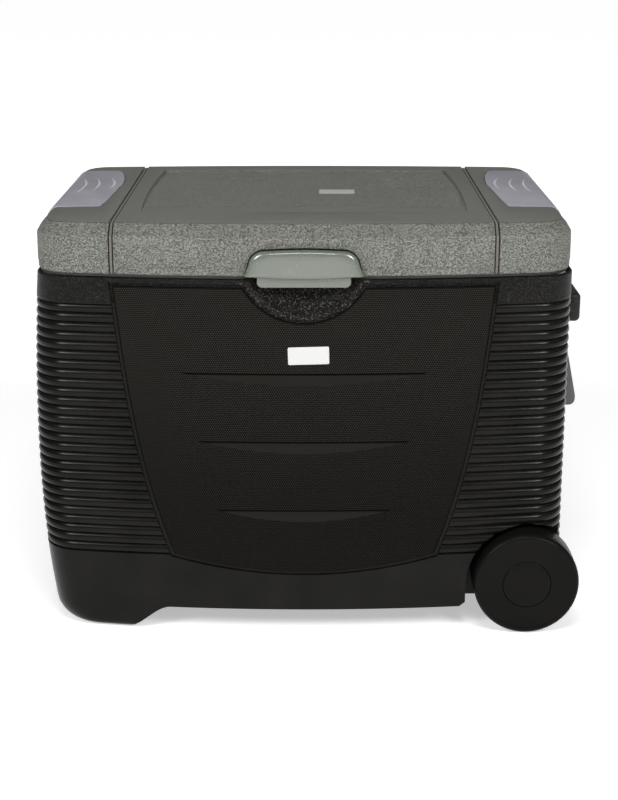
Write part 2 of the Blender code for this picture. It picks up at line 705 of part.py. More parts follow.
def make_outer_shell(carrier, looks):
    outer = piece("outer_shell", body_solid(0.0, FOOT_BOTTOM, BODY_TOP), looks["shell_black"], carrier)
    cutters = {
        "belly_space": prism(belly_profile(0.0), "y", -BACK - EPS, BACK + EPS),
        "scoop": scoop_mesh(0.0),
        "handle_bay": bay_mesh(0.0),
        "finger_pocket": finger_mesh(0.0),
        "hand_hold_hole": hand_hold(GAP, HAND_HOLD_HOLE),
    }
    for name, mesh in cutters.items():
        boolean(outer, helper(name, mesh))
    for i, mesh in enumerate(well_meshes(0.0)):
        boolean(outer, helper(f"wheel_well_{i}", mesh))

    room = helper("cabinet_room", body_solid(WALL, FOOT_BOTTOM + WALL, BODY_TOP + EPS))
    keepers = {
        "belly_wall": prism(belly_profile(WALL), "y", -BACK - EPS, BACK + EPS),
        "scoop_wall": scoop_mesh(WALL),
        "bay_wall": bay_mesh(WALL),
        "finger_wall": finger_mesh(WALL),
    }
    for name, mesh in keepers.items():
        boolean(room, helper(name, mesh))
    for i, mesh in enumerate(well_meshes(WALL)):
        boolean(room, helper(f"well_wall_{i}", mesh))
    boolean(outer, room)

    skin = PANEL_THICK + GAP
    recess = helper("panel_recess", prism(panel_outline(PANEL_SEAM), "y", -BACK - EPS, PANEL_CUT_Y))
    boolean(recess, helper("panel_floor", body_solid(skin, FOOT_BOTTOM + skin, BODY_TOP)))
    boolean(outer, recess)

    rear_x = (GRILLE_X[0] + GRILLE_LAP, GRILLE_X[1] - GRILLE_LAP)
    rear_z = (GRILLE_Z[0] + GRILLE_LAP, GRILLE_Z[1] - GRILLE_LAP)
    intake_y = (-INTAKE_HALF + INTAKE_LAP, INTAKE_HALF - INTAKE_LAP)
    intake_z = (INTAKE_Z[0] + INTAKE_LAP, INTAKE_Z[1] - INTAKE_LAP)
    through = (BAY_X - 2 * WALL, BODY_RIGHT + EPS)
    openings = [
        box(rear_x, (BACK - 2 * WALL, BACK + EPS), rear_z),
        box(through, intake_y, intake_z),
        box(through, (-SOCKET_HALF, SOCKET_HALF), SOCKET_Z),
        cylinder("y", (WHEEL_X, WHEEL_R), AXLE_BORE, -BACK, BACK, 16),
    ]
    boolean(outer, helper("wall_openings", several(openings)))
    near, far = COVER_HALF + RUN, ARM_Y[0] - CHANNEL_WALL - RUN - GAP
    height = (COVER_AXIS_Z - COVER_BARREL_R, COVER_AXIS_Z + COVER_BARREL_R)
    depth = (BAY_X - WALL / 2, COVER_AXIS_X + COVER_BARREL_R)
    ears = [box(depth, (-far, -near), height), box(depth, (near, far), height)]
    boolean(outer, helper("cover_ears", several(ears)), "UNION")
    reach = near + EAR_OVERHANG
    pin = cylinder("y", (COVER_AXIS_X, COVER_AXIS_Z), COVER_PIN_R + GAP, -reach, reach, 12)
    boolean(outer, helper("ear_bores", pin))


def make_front_panel(carrier, looks):
    """The textured insert of the front wall, with three crescent-shaped dents."""
    outline = prism(panel_outline(0.0), "y", -BACK - EPS, PANEL_CUT_Y)
    panel = piece("front_panel", outline, looks["panel_black"], carrier)
    boolean(panel, helper("panel_face", body_solid(0.0, FOOT_BOTTOM, BODY_TOP)), "INTERSECT")
    back = body_solid(PANEL_THICK, FOOT_BOTTOM + PANEL_THICK, BODY_TOP)
    boolean(panel, helper("panel_back", back))
    dents = []
    for top, half in CRESCENTS:
        radius = (half**2 + CRESCENT_DROP**2) / (2 * CRESCENT_DROP)
        reach = math.asin(half / radius)
        arc = circle(0.0, top - CRESCENT_DROP + radius, radius, 13, 1.5 * math.pi - reach, 2 * reach)
        dents.append(prism(arc, "y", -BACK - EPS, CRESCENT_CUT_Y))
    dent = helper("crescents", several(dents))
    floor = body_solid(CRESCENT_DEPTH, FOOT_BOTTOM + CRESCENT_DEPTH, BODY_TOP)
    boolean(dent, helper("crescent_floor", floor))
    boolean(panel, dent)


# --- food compartment -----------------------------------------------------------------------------
def cavity(grow, floor, top):
    """The food compartment's shape, grown on all sides."""
    x = (CAVITY_X[0] - grow, CAVITY_X[1] + grow)
    y = (CAVITY_Y[0] - grow, CAVITY_Y[1] + grow)
    return prism(rounded(x, y, CAVITY_CORNER + grow), "z", floor, top)


def flange_ring(z):
    """The liner's flange, which fills the rim inside the shell and stays clear of the bay's wall."""
    inset = WALL + GAP
    outline = plan(
        -BODY_LEFT + inset,
        BAY_X - WALL - GAP,
        -FRONT_CORNER + inset,
        BACK - inset,
        FRONT_BOW,
        CORNER_FRONT - inset,
        CORNER_BACK - inset,
    )
    return [(x, y, z) for x, y in outline]


def make_food_compartment(carrier, looks):
    flange = loft([flange_ring(z) for z in FLANGE_Z], True)
    liner = piece("inner_liner", flange, looks["liner_white"], carrier)
    tub = helper("liner_tub", cavity(LINER_SHEET, CAVITY_FLOOR - LINER_SHEET, FLANGE_Z[1] - GAP))
    boolean(liner, tub, "UNION")
    boolean(liner, helper("liner_room", cavity(0.0, CAVITY_FLOOR, BODY_TOP + EPS)))
    boolean(liner, helper("liner_scoop", scoop_mesh(WALL + GAP)))

    inset = WALL + GAP
    filling = body_solid(inset, BELLY_Z + WALL + GAP, FLANGE_Z[0] - GAP)
    foam = piece("cabinet_foam", filling, looks["foam"], carrier)
    slack = FOAM_SLACK + LINER_SHEET
    end_x = (BULKHEAD_X[0] - GAP, BODY_RIGHT + EPS)
    trims = {
        "foam_room": cavity(slack, CAVITY_FLOOR - slack, BODY_TOP + EPS),
        "foam_scoop": scoop_mesh(WALL + GAP),
        "foam_hand_hold": hand_hold(WALL, HAND_HOLD_FOAM),
        "foam_end": box(end_x, (-BACK - EPS, BACK + EPS), (-EPS, BODY_TOP + EPS)),
        "foam_foot": prism(belly_profile(WALL + GAP), "y", -BACK - EPS, BACK + EPS),
    }
    for name, mesh in trims.items():
        boolean(foam, helper(name, mesh))

    wrap = LINER_SHEET + GAP
    evaporator = piece(
        "evaporator_sheet", cavity(wrap + EVAPORATOR_SHEET, *EVAPORATOR_Z), looks["aluminium"], carrier
    )
    inside = cavity(wrap, EVAPORATOR_Z[0] - EPS, EVAPORATOR_Z[1] + EPS)
    boolean(evaporator, helper("evaporator_room", inside))

    bulkhead_y = (-FRONT_CORNER + BULKHEAD_FRONT, BACK - WALL - GAP)
    bulkhead = box(BULKHEAD_X, bulkhead_y, (BELLY_Z + WALL + GAP, FLANGE_Z[0] - GAP))
    piece("bulkhead", bulkhead, looks["steel"], carrier)

    cup = piece("hand_hold_cup", hand_hold(0.0, HAND_HOLD_CUP), looks["shell_black"], carrier)
    outside = body_solid(-CUP_PROUD, FOOT_BOTTOM, BODY_TOP)
    boolean(cup, helper("cup_limit", outside), "INTERSECT")
    boolean(cup, helper("cup_room", hand_hold(-CUP_WALL, HAND_HOLD_CUP - CUP_WALL)))


# --- machine compartment ----------------------------------------------------------------------------
def make_compressor(carrier, looks):
    low, high = COMPRESSOR_Z
    rise = high - low
    rings = []
    for share, up in COMPRESSOR_PROFILE:
        ring = circle(0.0, 0.0, share, 28)
        z = low + rise * up
        rings.append([(COMPRESSOR_X + COMPRESSOR_RX * x, COMPRESSOR_RY * y, z) for x, y in ring])
    shell = piece("compressor", loft(rings), looks["compressor_black"], carrier)
    mount_low = DECK_Z + DECK_SHEET + GAP
    plate_z = (mount_low + MOUNT_HEIGHT + GAP, low + PLATE_LAP)
    plate_x = (COMPRESSOR_X - MOUNT_HALF_X, COMPRESSOR_X + MOUNT_HALF_X)
    plate_y = (-MOUNT_Y - PLATE_REACH, MOUNT_Y + PLATE_REACH)
    plate = prism(rounded(plate_x, plate_y, PLATE_CORNER), "z", *plate_z)
    boolean(shell, helper("compressor_plate", plate), "UNION")
    for name, y in (("front", -MOUNT_Y), ("rear", MOUNT_Y)):
        outline = rounded(plate_x, (y - MOUNT_HALF_Y, y + MOUNT_HALF_Y), MOUNT_CORNER)
        strip = prism(outline, "z", mount_low, mount_low + MOUNT_HEIGHT)
        piece(f"compressor_mount_{name}", strip, looks["rubber"], carrier)


def make_machine_deck(carrier, looks):
    left, right = BULKHEAD_X[1] + DECK_MARGIN, BAY_X - WALL - DECK_MARGIN
    foot = BELLY_Z + WALL + GAP
    sheet = DECK_SHEET
    outline = [
        (left, foot), (left + sheet, foot), (left + sheet, DECK_Z), (right - sheet, DECK_Z),
        (right - sheet, foot), (right, foot), (right, DECK_Z + sheet), (left, DECK_Z + sheet),
    ]
    piece("compressor_deck", prism(outline, "y", *DECK_Y), looks["steel"], carrier)


def make_cooling_loop(carrier, looks):
    half = FAN_FRAME / 2
    frame_outline = rounded((FAN_X - half, FAN_X + half), (FAN_Z - half, FAN_Z + half), FAN_CORNER, 4)
    frame = piece("fan_frame", prism(frame_outline, "y", *FAN_Y), looks["shell_black"], carrier)
    bore = cylinder("y", (FAN_X, FAN_Z), FAN_BORE_R, FAN_Y[0] - EPS, FAN_Y[1] + EPS, 32)
    boolean(frame, helper("fan_bore", bore))
    spider_y = (FAN_Y[1] - SPIDER_Y[0], FAN_Y[1] - SPIDER_Y[1])
    bar, reach = SPIDER_HALF, half - SPIDER_HALF
    bars = [
        box((FAN_X - reach, FAN_X + reach), spider_y, (FAN_Z - bar, FAN_Z + bar)),
        box((FAN_X - bar, FAN_X + bar), spider_y, (FAN_Z - reach, FAN_Z + reach)),
    ]
    for i, bar in enumerate(bars):
        boolean(frame, helper(f"fan_bar_{i}", bar), "UNION")

    left, right = FAN_X - half, FAN_X + half
    low, high = FAN_Z - half, FAN_Z + half
    pitch = (right - left) / FINS
    base = low + FIN_BASE
    outline = [(left, low), (right, low), (right, high)]
    for i in range(FINS - 1, 0, -1):
        x = left + pitch * i
        near, far = x + pitch * FIN_SLOT, x - pitch * FIN_SLOT
        outline += [(near, high), (near, base), (far, base), (far, high)]
    outline.append((left, high))
    piece("condenser", prism(outline, "y", *CONDENSER_Y), looks["aluminium"], carrier)

    drier = turned("z", DRIER_CENTRE, DRIER_PROFILE, 16)
    piece("filter_drier", drier, looks["copper"], carrier)
    for name, points in (("suction_line", SUCTION_PATH), ("discharge_line", DISCHARGE_PATH)):
        tube_line(name, points, PIPE_R, looks["copper"], carrier)


def tube_line(name, points, radius, surface, carrier):
    """A bent copper pipe: a smooth line through the given points."""
    curve = bpy.data.curves.new(name, "CURVE")
    curve.dimensions = "3D"
    curve.bevel_depth = radius
    curve.bevel_resolution = 2
    curve.use_fill_caps = True
    curve.materials.append(surface)
    spline = curve.splines.new("POLY")
    smooth = smooth_line([Vector(p) for p in points], 4)
    spline.points.add(len(smooth) - 1)
    for point, place in zip(spline.points, smooth):
        point.co = (*place, 1.0)
    obj = bpy.data.objects.new(name, curve)
    bpy.context.scene.collection.objects.link(obj)
    obj.parent = carrier


def smooth_line(points, steps):
    """Points along a Catmull-Rom curve through the given ones."""
    padded = [2 * points[0] - points[1], *points, 2 * points[-1] - points[-2]]
    line = []
    for a, b, c, d in zip(padded, padded[1:], padded[2:], padded[3:]):
        for i in range(steps):
            t = i / steps
            square = (2 * a - 5 * b + 4 * c - d) * t**2
            cube = (3 * b - a - 3 * c + d) * t**3
            line.append((2 * b + (c - a) * t + square + cube) / 2)
    return [*line, points[-1]]


def make_fan_rotor(carrier, looks):
    """A hub with seven pitched blades, turning on the fan's axis."""
    low, high = FAN_Y[0] + HUB_Y[0], FAN_Y[1] - HUB_Y[1]
    drum = cylinder("y", (FAN_X, FAN_Z), HUB_R, low, high, 24)
    hub = piece("fan_rotor", drum, looks["fan_grey"], carrier)
    thick, deep = BLADE_HALF
    blades = []
    for i in range(BLADES):
        turn = math.tau * i / BLADES
        blade = box((BLADE_ROOT, FAN_BORE_R - BLADE_TIP_GAP), (-thick, thick), (-deep, deep))
        blade.transform(Matrix.Rotation(math.radians(BLADE_PITCH), 4, "X"))
        blade.transform(Matrix.Rotation(turn, 4, "Y"))
        blade.transform(Matrix.Translation((FAN_X, (low + high) / 2, FAN_Z)))
        blades.append(blade)
    for i, blade in enumerate(blades):
        boolean(hub, helper(f"blade_{i}", blade), "UNION")


def make_electronics(carrier, looks):
    controller = prism(rounded(CONTROLLER_X, BOX_Z, BOX_CORNER, 3), "y", *BOX_Y)
    piece("motor_controller", controller, looks["aluminium"], carrier)
    supply = prism(rounded(SUPPLY_X, BOX_Z, BOX_CORNER, 3), "y", *BOX_Y)
    piece("power_supply", supply, looks["steel"], carrier)


def slotted_plate(x, y, z, slot_axis, count, margin):
    """A plate and its slots: long gaps along one horizontal axis, one above the other."""
    plate = box(x, y, z)
    pitch = (z[1] - z[0] - 2 * margin) / count
    slots = []
    for i in range(count):
        low = z[0] + margin + pitch * (i + (1 - SLOT_SHARE) / 2)
        gap = (low, low + pitch * SLOT_SHARE)
        if slot_axis == "x":
            slots.append(box((x[0] + margin, x[1] - margin), (y[0] - EPS, y[1] + EPS), gap))
        else:
            slots.append(box((x[0] - EPS, x[1] + EPS), (y[0] + margin, y[1] - margin), gap))
    return plate, several(slots)


def make_grilles(carrier, looks):
    y = (BACK + GAP, BACK + GRILLE_THICK)
    plate, slots = slotted_plate(GRILLE_X, y, GRILLE_Z, "x", GRILLE_SLOTS, GRILLE_MARGIN)
    boolean(piece("rear_grille", plate, looks["shell_black"], carrier), helper("rear_slots", slots))
    x, y = (BAY_X + GAP, BAY_X + INTAKE_THICK), (-INTAKE_HALF, INTAKE_HALF)
    plate, slots = slotted_plate(x, y, INTAKE_Z, "y", INTAKE_SLOTS, INTAKE_MARGIN)
    boolean(piece("intake_grille", plate, looks["shell_black"], carrier), helper("intake_slots", slots))


# --- sockets and controls behind the grey cover -------------------------------------------------------
def inlet_block(x, half):
    """A block centred on the mains inlet."""
    y = (AC_SOCKET_Y - half[0], AC_SOCKET_Y + half[0])
    return box(x, y, (SOCKET_MID_Z - half[1], SOCKET_MID_Z + half[1]))


def make_socket_panel(carrier, looks):
    plate_x = PANEL_PLATE_X
    y = (-SOCKET_HALF - SOCKET_LAP, SOCKET_HALF + SOCKET_LAP)
    z = (SOCKET_Z[0] - SOCKET_LAP, SOCKET_Z[1] + SOCKET_LAP)
    panel = piece("socket_panel", box(plate_x, y, z), looks["panel_black"], carrier)
    cutter_x = (plate_x[0] - EPS, plate_x[1] + EPS)
    buttons = BUTTON_Y.values()
    holes = [cylinder("x", (centre, BUTTON_Z), BUTTON_R + RUN, *cutter_x, 20) for centre in buttons]
    dc_centre = (DC_SOCKET_Y, SOCKET_MID_Z)
    holes.append(cylinder("x", dc_centre, DC_R + GAP, *cutter_x, 24))
    holes.append(inlet_block(cutter_x, (AC_HALF[0] + GAP, AC_HALF[1] + GAP)))
    holes.append(box(cutter_x, WINDOW_Y, WINDOW_Z))
    boolean(panel, helper("panel_holes", several(holes)))

    front = plate_x[1] + SOCKET_PROUD
    barrel = cylinder("x", dc_centre, DC_R, SOCKET_BACK, front, 24)
    dc = piece("dc_socket", barrel, looks["rubber"], carrier)
    bore = cylinder("x", dc_centre, DC_BORE_R, SOCKET_BORE_X, front + EPS, 20)
    boolean(dc, helper("dc_bore", bore))
    ac = piece("ac_inlet", inlet_block((SOCKET_BACK, front), AC_HALF), looks["rubber"], carrier)
    boolean(ac, helper("ac_bore", inlet_block((SOCKET_BORE_X, front + EPS), AC_BORE_HALF)))
    glass_x = (plate_x[0] + WINDOW_X[0], plate_x[1] + WINDOW_X[1])
    glass_y = (WINDOW_Y[0] + GAP, WINDOW_Y[1] - GAP)
    window = box(glass_x, glass_y, (WINDOW_Z[0] + GAP, WINDOW_Z[1] - GAP))
    piece("display_window", window, looks["display"], carrier)


def make_buttons(bodies, looks):
    for name, centre in BUTTON_Y.items():
        x = (PANEL_PLATE_X[0] + GAP, PANEL_PLATE_X[1] + BUTTON_PROUD)
        button = cylinder("x", (centre, BUTTON_Z), BUTTON_R, *x, 20)
        piece(name, button, looks["trim_grey"], bodies[name])


def make_socket_cover(carrier, cabinet, looks):
    """A wedge-shaped grey hood, open towards the wall, hung on a pin along its top edge."""
    floor = BAY_X + RUN
    barrel = (COVER_AXIS_X, COVER_AXIS_Z)
    radius = COVER_BARREL_R
    below = COVER_AXIS_Z - radius
    outer = [(COVER_AXIS_X - COVER_NECK, below), (floor, below - COVER_DROP), (floor, COVER_BOTTOM)]
    turn = (COVER_OUT - COVER_ROUND, COVER_BOTTOM + COVER_ROUND)
    lip = circle(*turn, COVER_ROUND, 5, 1.5 * math.pi, math.pi / 2)
    outer += lip + [(COVER_OUT, COVER_LIP_Z), (COVER_AXIS_X + radius, COVER_AXIS_Z - radius / 3)]
    outer += circle(barrel[0], barrel[1], radius, 7, 0.0, math.pi)
    y = (-COVER_HALF, COVER_HALF)
    cover = piece("socket_cover", prism(outer, "y", *y), looks["cover_grey"], carrier)
    wall = COVER_WALL
    room = [
        (floor - EPS, COVER_BOTTOM + wall),
        (COVER_OUT - COVER_ROUND, COVER_BOTTOM + wall),
        (COVER_OUT - wall, COVER_BOTTOM + COVER_ROUND + RUN),
        (COVER_OUT - wall, COVER_LIP_Z),
        (COVER_AXIS_X + COVER_NECK - GAP, below - COVER_THROAT),
        (floor - EPS, below - COVER_THROAT),
    ]
    boolean(cover, helper("cover_room", prism(room, "y", y[0] + wall, y[1] - wall)))
    slot_x = (floor - EPS, COVER_OUT - COVER_ROUND - wall / 2)
    slot = box(slot_x, CABLE_Y, (COVER_BOTTOM - EPS, COVER_BOTTOM + 1.5 * wall))
    boolean(cover, helper("cable_slot", slot))
    reach = COVER_HALF + PIN_OVERHANG
    bore = cylinder("y", barrel, COVER_PIN_R + GAP, -reach - EPS, reach + EPS, 12)
    boolean(cover, helper("cover_bore", bore))
    pin = cylinder("y", barrel, COVER_PIN_R, -reach, reach, 12)
    piece("cover_pin", pin, looks["steel"], cabinet)


# --- pull handle -----------------------------------------------------------------------------------
def make_pull_handle(carrier, cabinet, looks):
    inner, outer = ARM_X[0], GRIP_OUT
    low, high = GRIP_Z
    round_out, ease = GRIP_ROUND, GRIP_EASE
    section = [(inner, low + ease), (inner + ease, low)]
    section += circle(outer - round_out, low + round_out, round_out, 5, 1.5 * math.pi, math.pi / 2)
    section += circle(outer - round_out, high - round_out, round_out, 5, 0.0, math.pi / 2)
    section += [(inner + ease, high), (inner, high - ease)]
    middle = Vector(((inner + outer) / 2, (low + high) / 2))
    rings = []
    for y, size in GRIP_SECTIONS:
        ring = [middle + (Vector(point) - middle) * size for point in section]
        rings.append([(x, y * GRIP_HALF, z) for x, z in ring])
    grip = piece("handle_grip", loft(rings), looks["grain_black"], carrier)
    sockets = []
    for side in (-1, 1):
        y = sorted((side * (ARM_Y[0] - GAP), side * (ARM_Y[1] + GAP)))
        sockets.append(box((ARM_X[0] - EPS, ARM_X[1] + GAP), y, (low - EPS, low + ARM_SOCKET)))
    boolean(grip, helper("arm_sockets", several(sockets)))

    channels = []
    for name, side in (("front", -1), ("rear", 1)):
        y = tuple(sorted((side * ARM_Y[0], side * ARM_Y[1])))
        arm = box(ARM_X, y, (ARM_BOTTOM, low + ARM_SOCKET - GAP))
        piece(f"handle_arm_{name}", arm, looks["steel"], carrier)
        near, far = ARM_Y[0] - RUN, ARM_Y[1] + RUN
        wall = CHANNEL_WALL
        face = ARM_X[1] + RUN
        root = BAY_X + GAP
        outline = [
            (root, near - wall),
            (face + wall, near - wall),
            (face + wall, far + wall),
            (root, far + wall),
            (root, far),
            (face, far),
            (face, near),
            (root, near),
        ]
        channels.append(prism([(x, side * y_) for x, y_ in outline], "z", *CHANNEL_Z))
    strip_y = (-ARM_Y[0] + GAP, ARM_Y[0] - GAP)
    strip = box((root, face + wall), strip_y, (CHANNEL_Z[0], CHANNEL_Z[0] + GUIDE_STRIP))
    guide = piece("handle_guide", strip, looks["shell_black"], cabinet)
    boolean(guide, helper("guide_channels", several(channels)), "UNION")


# --- wheels ----------------------------------------------------------------------------------------
def make_wheel(name, outside, carrier, looks):
    """A wheel whose outer face is at y = outside, and which reaches inwards by its width."""
    sign = 1 if outside > 0 else -1
    centre = (WHEEL_X, WHEEL_R)

    def y(depth):
        return outside - sign * depth

    recess = CAP_R + GAP
    profile = [(AXLE_BORE, y(WHEEL_POCKET)), (recess, y(WHEEL_POCKET)), (recess, y(WHEEL_POCKET / 4))]
    profile += [(WHEEL_R - draw, y(depth)) for draw, depth in WHEEL_TREAD]
    profile += [(WHEEL_R, y(WHEEL_WIDTH - RIM_BACK)), (WHEEL_R - RIM_BACK, y(WHEEL_WIDTH))]
    profile.append((WHEEL_R - RIM_WALL, y(WHEEL_WIDTH)))
    profile += [(radius, y(depth)) for radius, depth in DISC_BACK]
    profile += [(HUB_BACK_R, y(WHEEL_WIDTH)), (AXLE_BORE, y(WHEEL_WIDTH))]
    piece(f"wheel_{name}", turned("y", centre, profile, 44, True), looks["wheel_black"], carrier)
    cap_profile = [(CAP_PROFILE[-1][0], y(CAP_DEPTH)), (CAP_R, y(CAP_DEPTH))]
    cap_profile += [(radius, y(depth)) for radius, depth in CAP_PROFILE]
    piece(f"hub_cap_{name}", turned("y", centre, cap_profile, 36), looks["wheel_black"], carrier)


def make_axle(carrier, looks):
    front = -WHEEL_FRONT_FACE + AXLE_SHORT
    rear = WHEEL_BACK_FACE - AXLE_SHORT
    piece("axle", cylinder("y", (WHEEL_X, WHEEL_R), AXLE_R, front, rear, 16), looks["steel"], carrier)


# --- lid -------------------------------------------------------------------------------------------
def flap_plan(grow):
    """The left flap seen from above, running past the lid's end. The right one mirrors it."""
    outside = -LID_HALF - EPS
    corner = FLAP_CORNER
    inner, back, front = -FLAP_INNER_X + grow, FLAP_BACK_Y + grow, FLAP_FRONT_Y - grow
    points = [(outside, front), (-FLAP_FRONT_X + grow, front)]
    points.append((-FLAP_STEP_X + grow, FLAP_STEP_Y - grow))
    points += [(inner, FLAP_STEP_Y - grow)]
    points += circle(inner - corner, back - corner, corner, 6, 0.0, math.pi / 2)
    return points + [(outside, back)]


def latch_outline(grow, bottom):
    """The latch seen from the front, in X and Z."""
    side = LATCH_HALF_BOTTOM + grow
    right = [(side, bottom), (side, max(bottom + GAP, LATCH_BOTTOM))]
    corner = LATCH_CORNER + grow
    cx, cz = LATCH_HALF_TOP + grow - corner, LATCH_TOP + grow - corner
    sweep = math.pi / 2 - LATCH_LEAN
    right += circle(cx + LATCH_SIDE_SHIFT, cz, corner, 7, LATCH_LEAN, sweep)
    left = [(-x, z) for x, z in reversed(right)]
    crown = []
    for x in LATCH_CROWN_X:
        crown.append((x, LATCH_TOP + grow + LATCH_CROWN * (1 - (x / LATCH_CROWN_HALF) ** 2)))
    return right + crown + left


def make_lid(carrier, looks):
    covers = {
        "lid_cover": (-SEAM_X + SEAM_WIDTH / 2, SEAM_X - SEAM_WIDTH / 2),
        "lid_end_left": (-LID_HALF - EPS, -SEAM_X - SEAM_WIDTH / 2),
        "lid_end_right": (SEAM_X + SEAM_WIDTH / 2, LID_HALF + EPS),
    }
    hollow = helper("lid_room", lid_solid(WALL, LID_BOTTOM - EPS))
    made = {}
    for name, x in covers.items():
        block = box(x, (-BACK - EPS, BACK + EPS), (LID_BOTTOM - EPS, LID_TOP + EPS))
        cover = piece(name, block, looks["lid_grey"], carrier)
        boolean(cover, helper(f"{name}_shape", lid_solid(0.0, LID_BOTTOM)), "INTERSECT")
        boolean(cover, hollow)
        made[name] = cover

    tray = rounded((-TRAY_X, TRAY_X), (TRAY_FRONT_Y, TRAY_BACK_Y), TRAY_CORNER, 3)
    field = helper("tray_field", prism(tray, "z", LID_SHOULDER, LID_TOP + EPS))
    boolean(field, helper("tray_floor", lid_solid(TRAY_DEPTH, LID_BOTTOM)))
    boolean(made["lid_cover"], field)
    bite = prism(latch_outline(LATCH_BITE, LID_BOTTOM - EPS), "y", -BACK - EPS, CRESCENT_CUT_Y)
    boolean(made["lid_cover"], helper("latch_bite", bite))

    frame_inset = SEAM_DEPTH
    frame_bottom = LID_BOTTOM + FRAME_RISE
    frame = piece("lid_frame", lid_solid(frame_inset, frame_bottom), looks["frame_brown"], carrier)
    core_inset = frame_inset + LID_FRAME_WALL
    boolean(frame, helper("frame_room", lid_solid(core_inset, LID_BOTTOM - EPS)))

    core = lid_solid(core_inset + GAP, LID_BOTTOM + FOAM_RISE)
    foam = piece("lid_foam", core, looks["foam"], carrier)
    room, floor = POCKET_WALL + GAP, POCKET_FLOOR - POCKET_WALL - GAP
    cutter = helper("pocket_space", several([pocket_block(side, room, floor) for side in (-1, 1)]))
    boolean(frame, cutter)
    boolean(foam, cutter)

    panel = [lid_ring(LID_BOTTOM + rise, WALL + GAP, 0.0, 0.0) for rise in PANEL_RISE]
    liner = piece("lid_liner", loft(panel, True), looks["liner_white"], carrier)
    floor = FLANGE_Z[1] - PLUG_DROP
    boolean(liner, helper("plug", cavity(-PLUG_INSET, floor, LID_BOTTOM + PLUG_TOP)), "UNION")
    room = cavity(-PLUG_INSET - LINER_SHEET, floor + LINER_SHEET, LID_BOTTOM + EPS)
    boolean(liner, helper("plug_room", room))

    ring = cavity(SEAL_GROW[1], FLANGE_Z[1] + GAP, LID_BOTTOM)
    seal = piece("lid_seal", ring, looks["rubber"], carrier)
    boolean(seal, helper("seal_room", cavity(SEAL_GROW[0], FLANGE_Z[1] - EPS, LID_BOTTOM + EPS)))

    for name, side in (("left", -1), ("right", 1)):
        tray = pocket_block(side, POCKET_WALL, POCKET_FLOOR - POCKET_WALL)
        pocket = piece(f"pocket_tray_{name}", tray, looks["frame_brown"], carrier)
        boolean(pocket, helper(f"pocket_limit_{name}", lid_solid(WALL + GAP, LID_BOTTOM)), "INTERSECT")
        boolean(pocket, helper(f"pocket_room_{name}", pocket_block(side, 0.0, POCKET_FLOOR)))
        end = made[f"lid_end_{name}"]
        recess_mesh = prism(flap_plan(1.25 * GAP), "z", FLAP_LIP_Z - GAP, LID_TOP + EPS)
        slot_x = (-FLAP_INNER_X, -FLAP_INNER_X + FLAP_HINGE_SLOT)
        slot_y = (FLAP_STEP_Y - GAP, FLAP_BACK_Y - FLAP_CORNER / 2)
        slot_mesh = box(slot_x, slot_y, (LID_SHOULDER, LID_TOP + EPS))
        if side > 0:
            recess_mesh, slot_mesh = mirrored(recess_mesh, "x"), mirrored(slot_mesh, "x")
        recess = helper(f"flap_recess_{name}", recess_mesh)
        boolean(recess, helper(f"flap_slot_{name}", slot_mesh), "UNION")
        boolean(recess, helper(f"recess_floor_{name}", lid_solid(FLAP_SUNK + GAP, LID_BOTTOM)))
        boolean(end, recess)
        boolean(end, helper(f"pocket_mouth_{name}", pocket_block(side, 0.0, POCKET_FLOOR)))
    return frame


def pocket_block(side, grow, floor):
    """The pocket's space in one end of the lid."""
    x = tuple(sorted((side * (POCKET_X[0] - grow), side * (POCKET_X[1] + grow))))
    y = (POCKET_Y[0] - grow, POCKET_Y[1] + grow)
    return prism(rounded(x, y, POCKET_CORNER + grow, 4), "z", floor, LID_TOP + EPS)


def make_flap(name, side, carrier, looks):
    outline = prism(flap_plan(0.0), "z", FLAP_LIP_Z, LID_TOP + EPS)
    if side > 0:
        outline = mirrored(outline, "x")
    flap = piece(f"pocket_flap_{name}", outline, looks["flap_violet"], carrier)
    boolean(flap, helper(f"flap_skin_{name}", lid_solid(-FLAP_PROUD, LID_BOTTOM)), "INTERSECT")
    boolean(flap, helper(f"flap_under_{name}", lid_solid(FLAP_SUNK, LID_BOTTOM - EPS)))


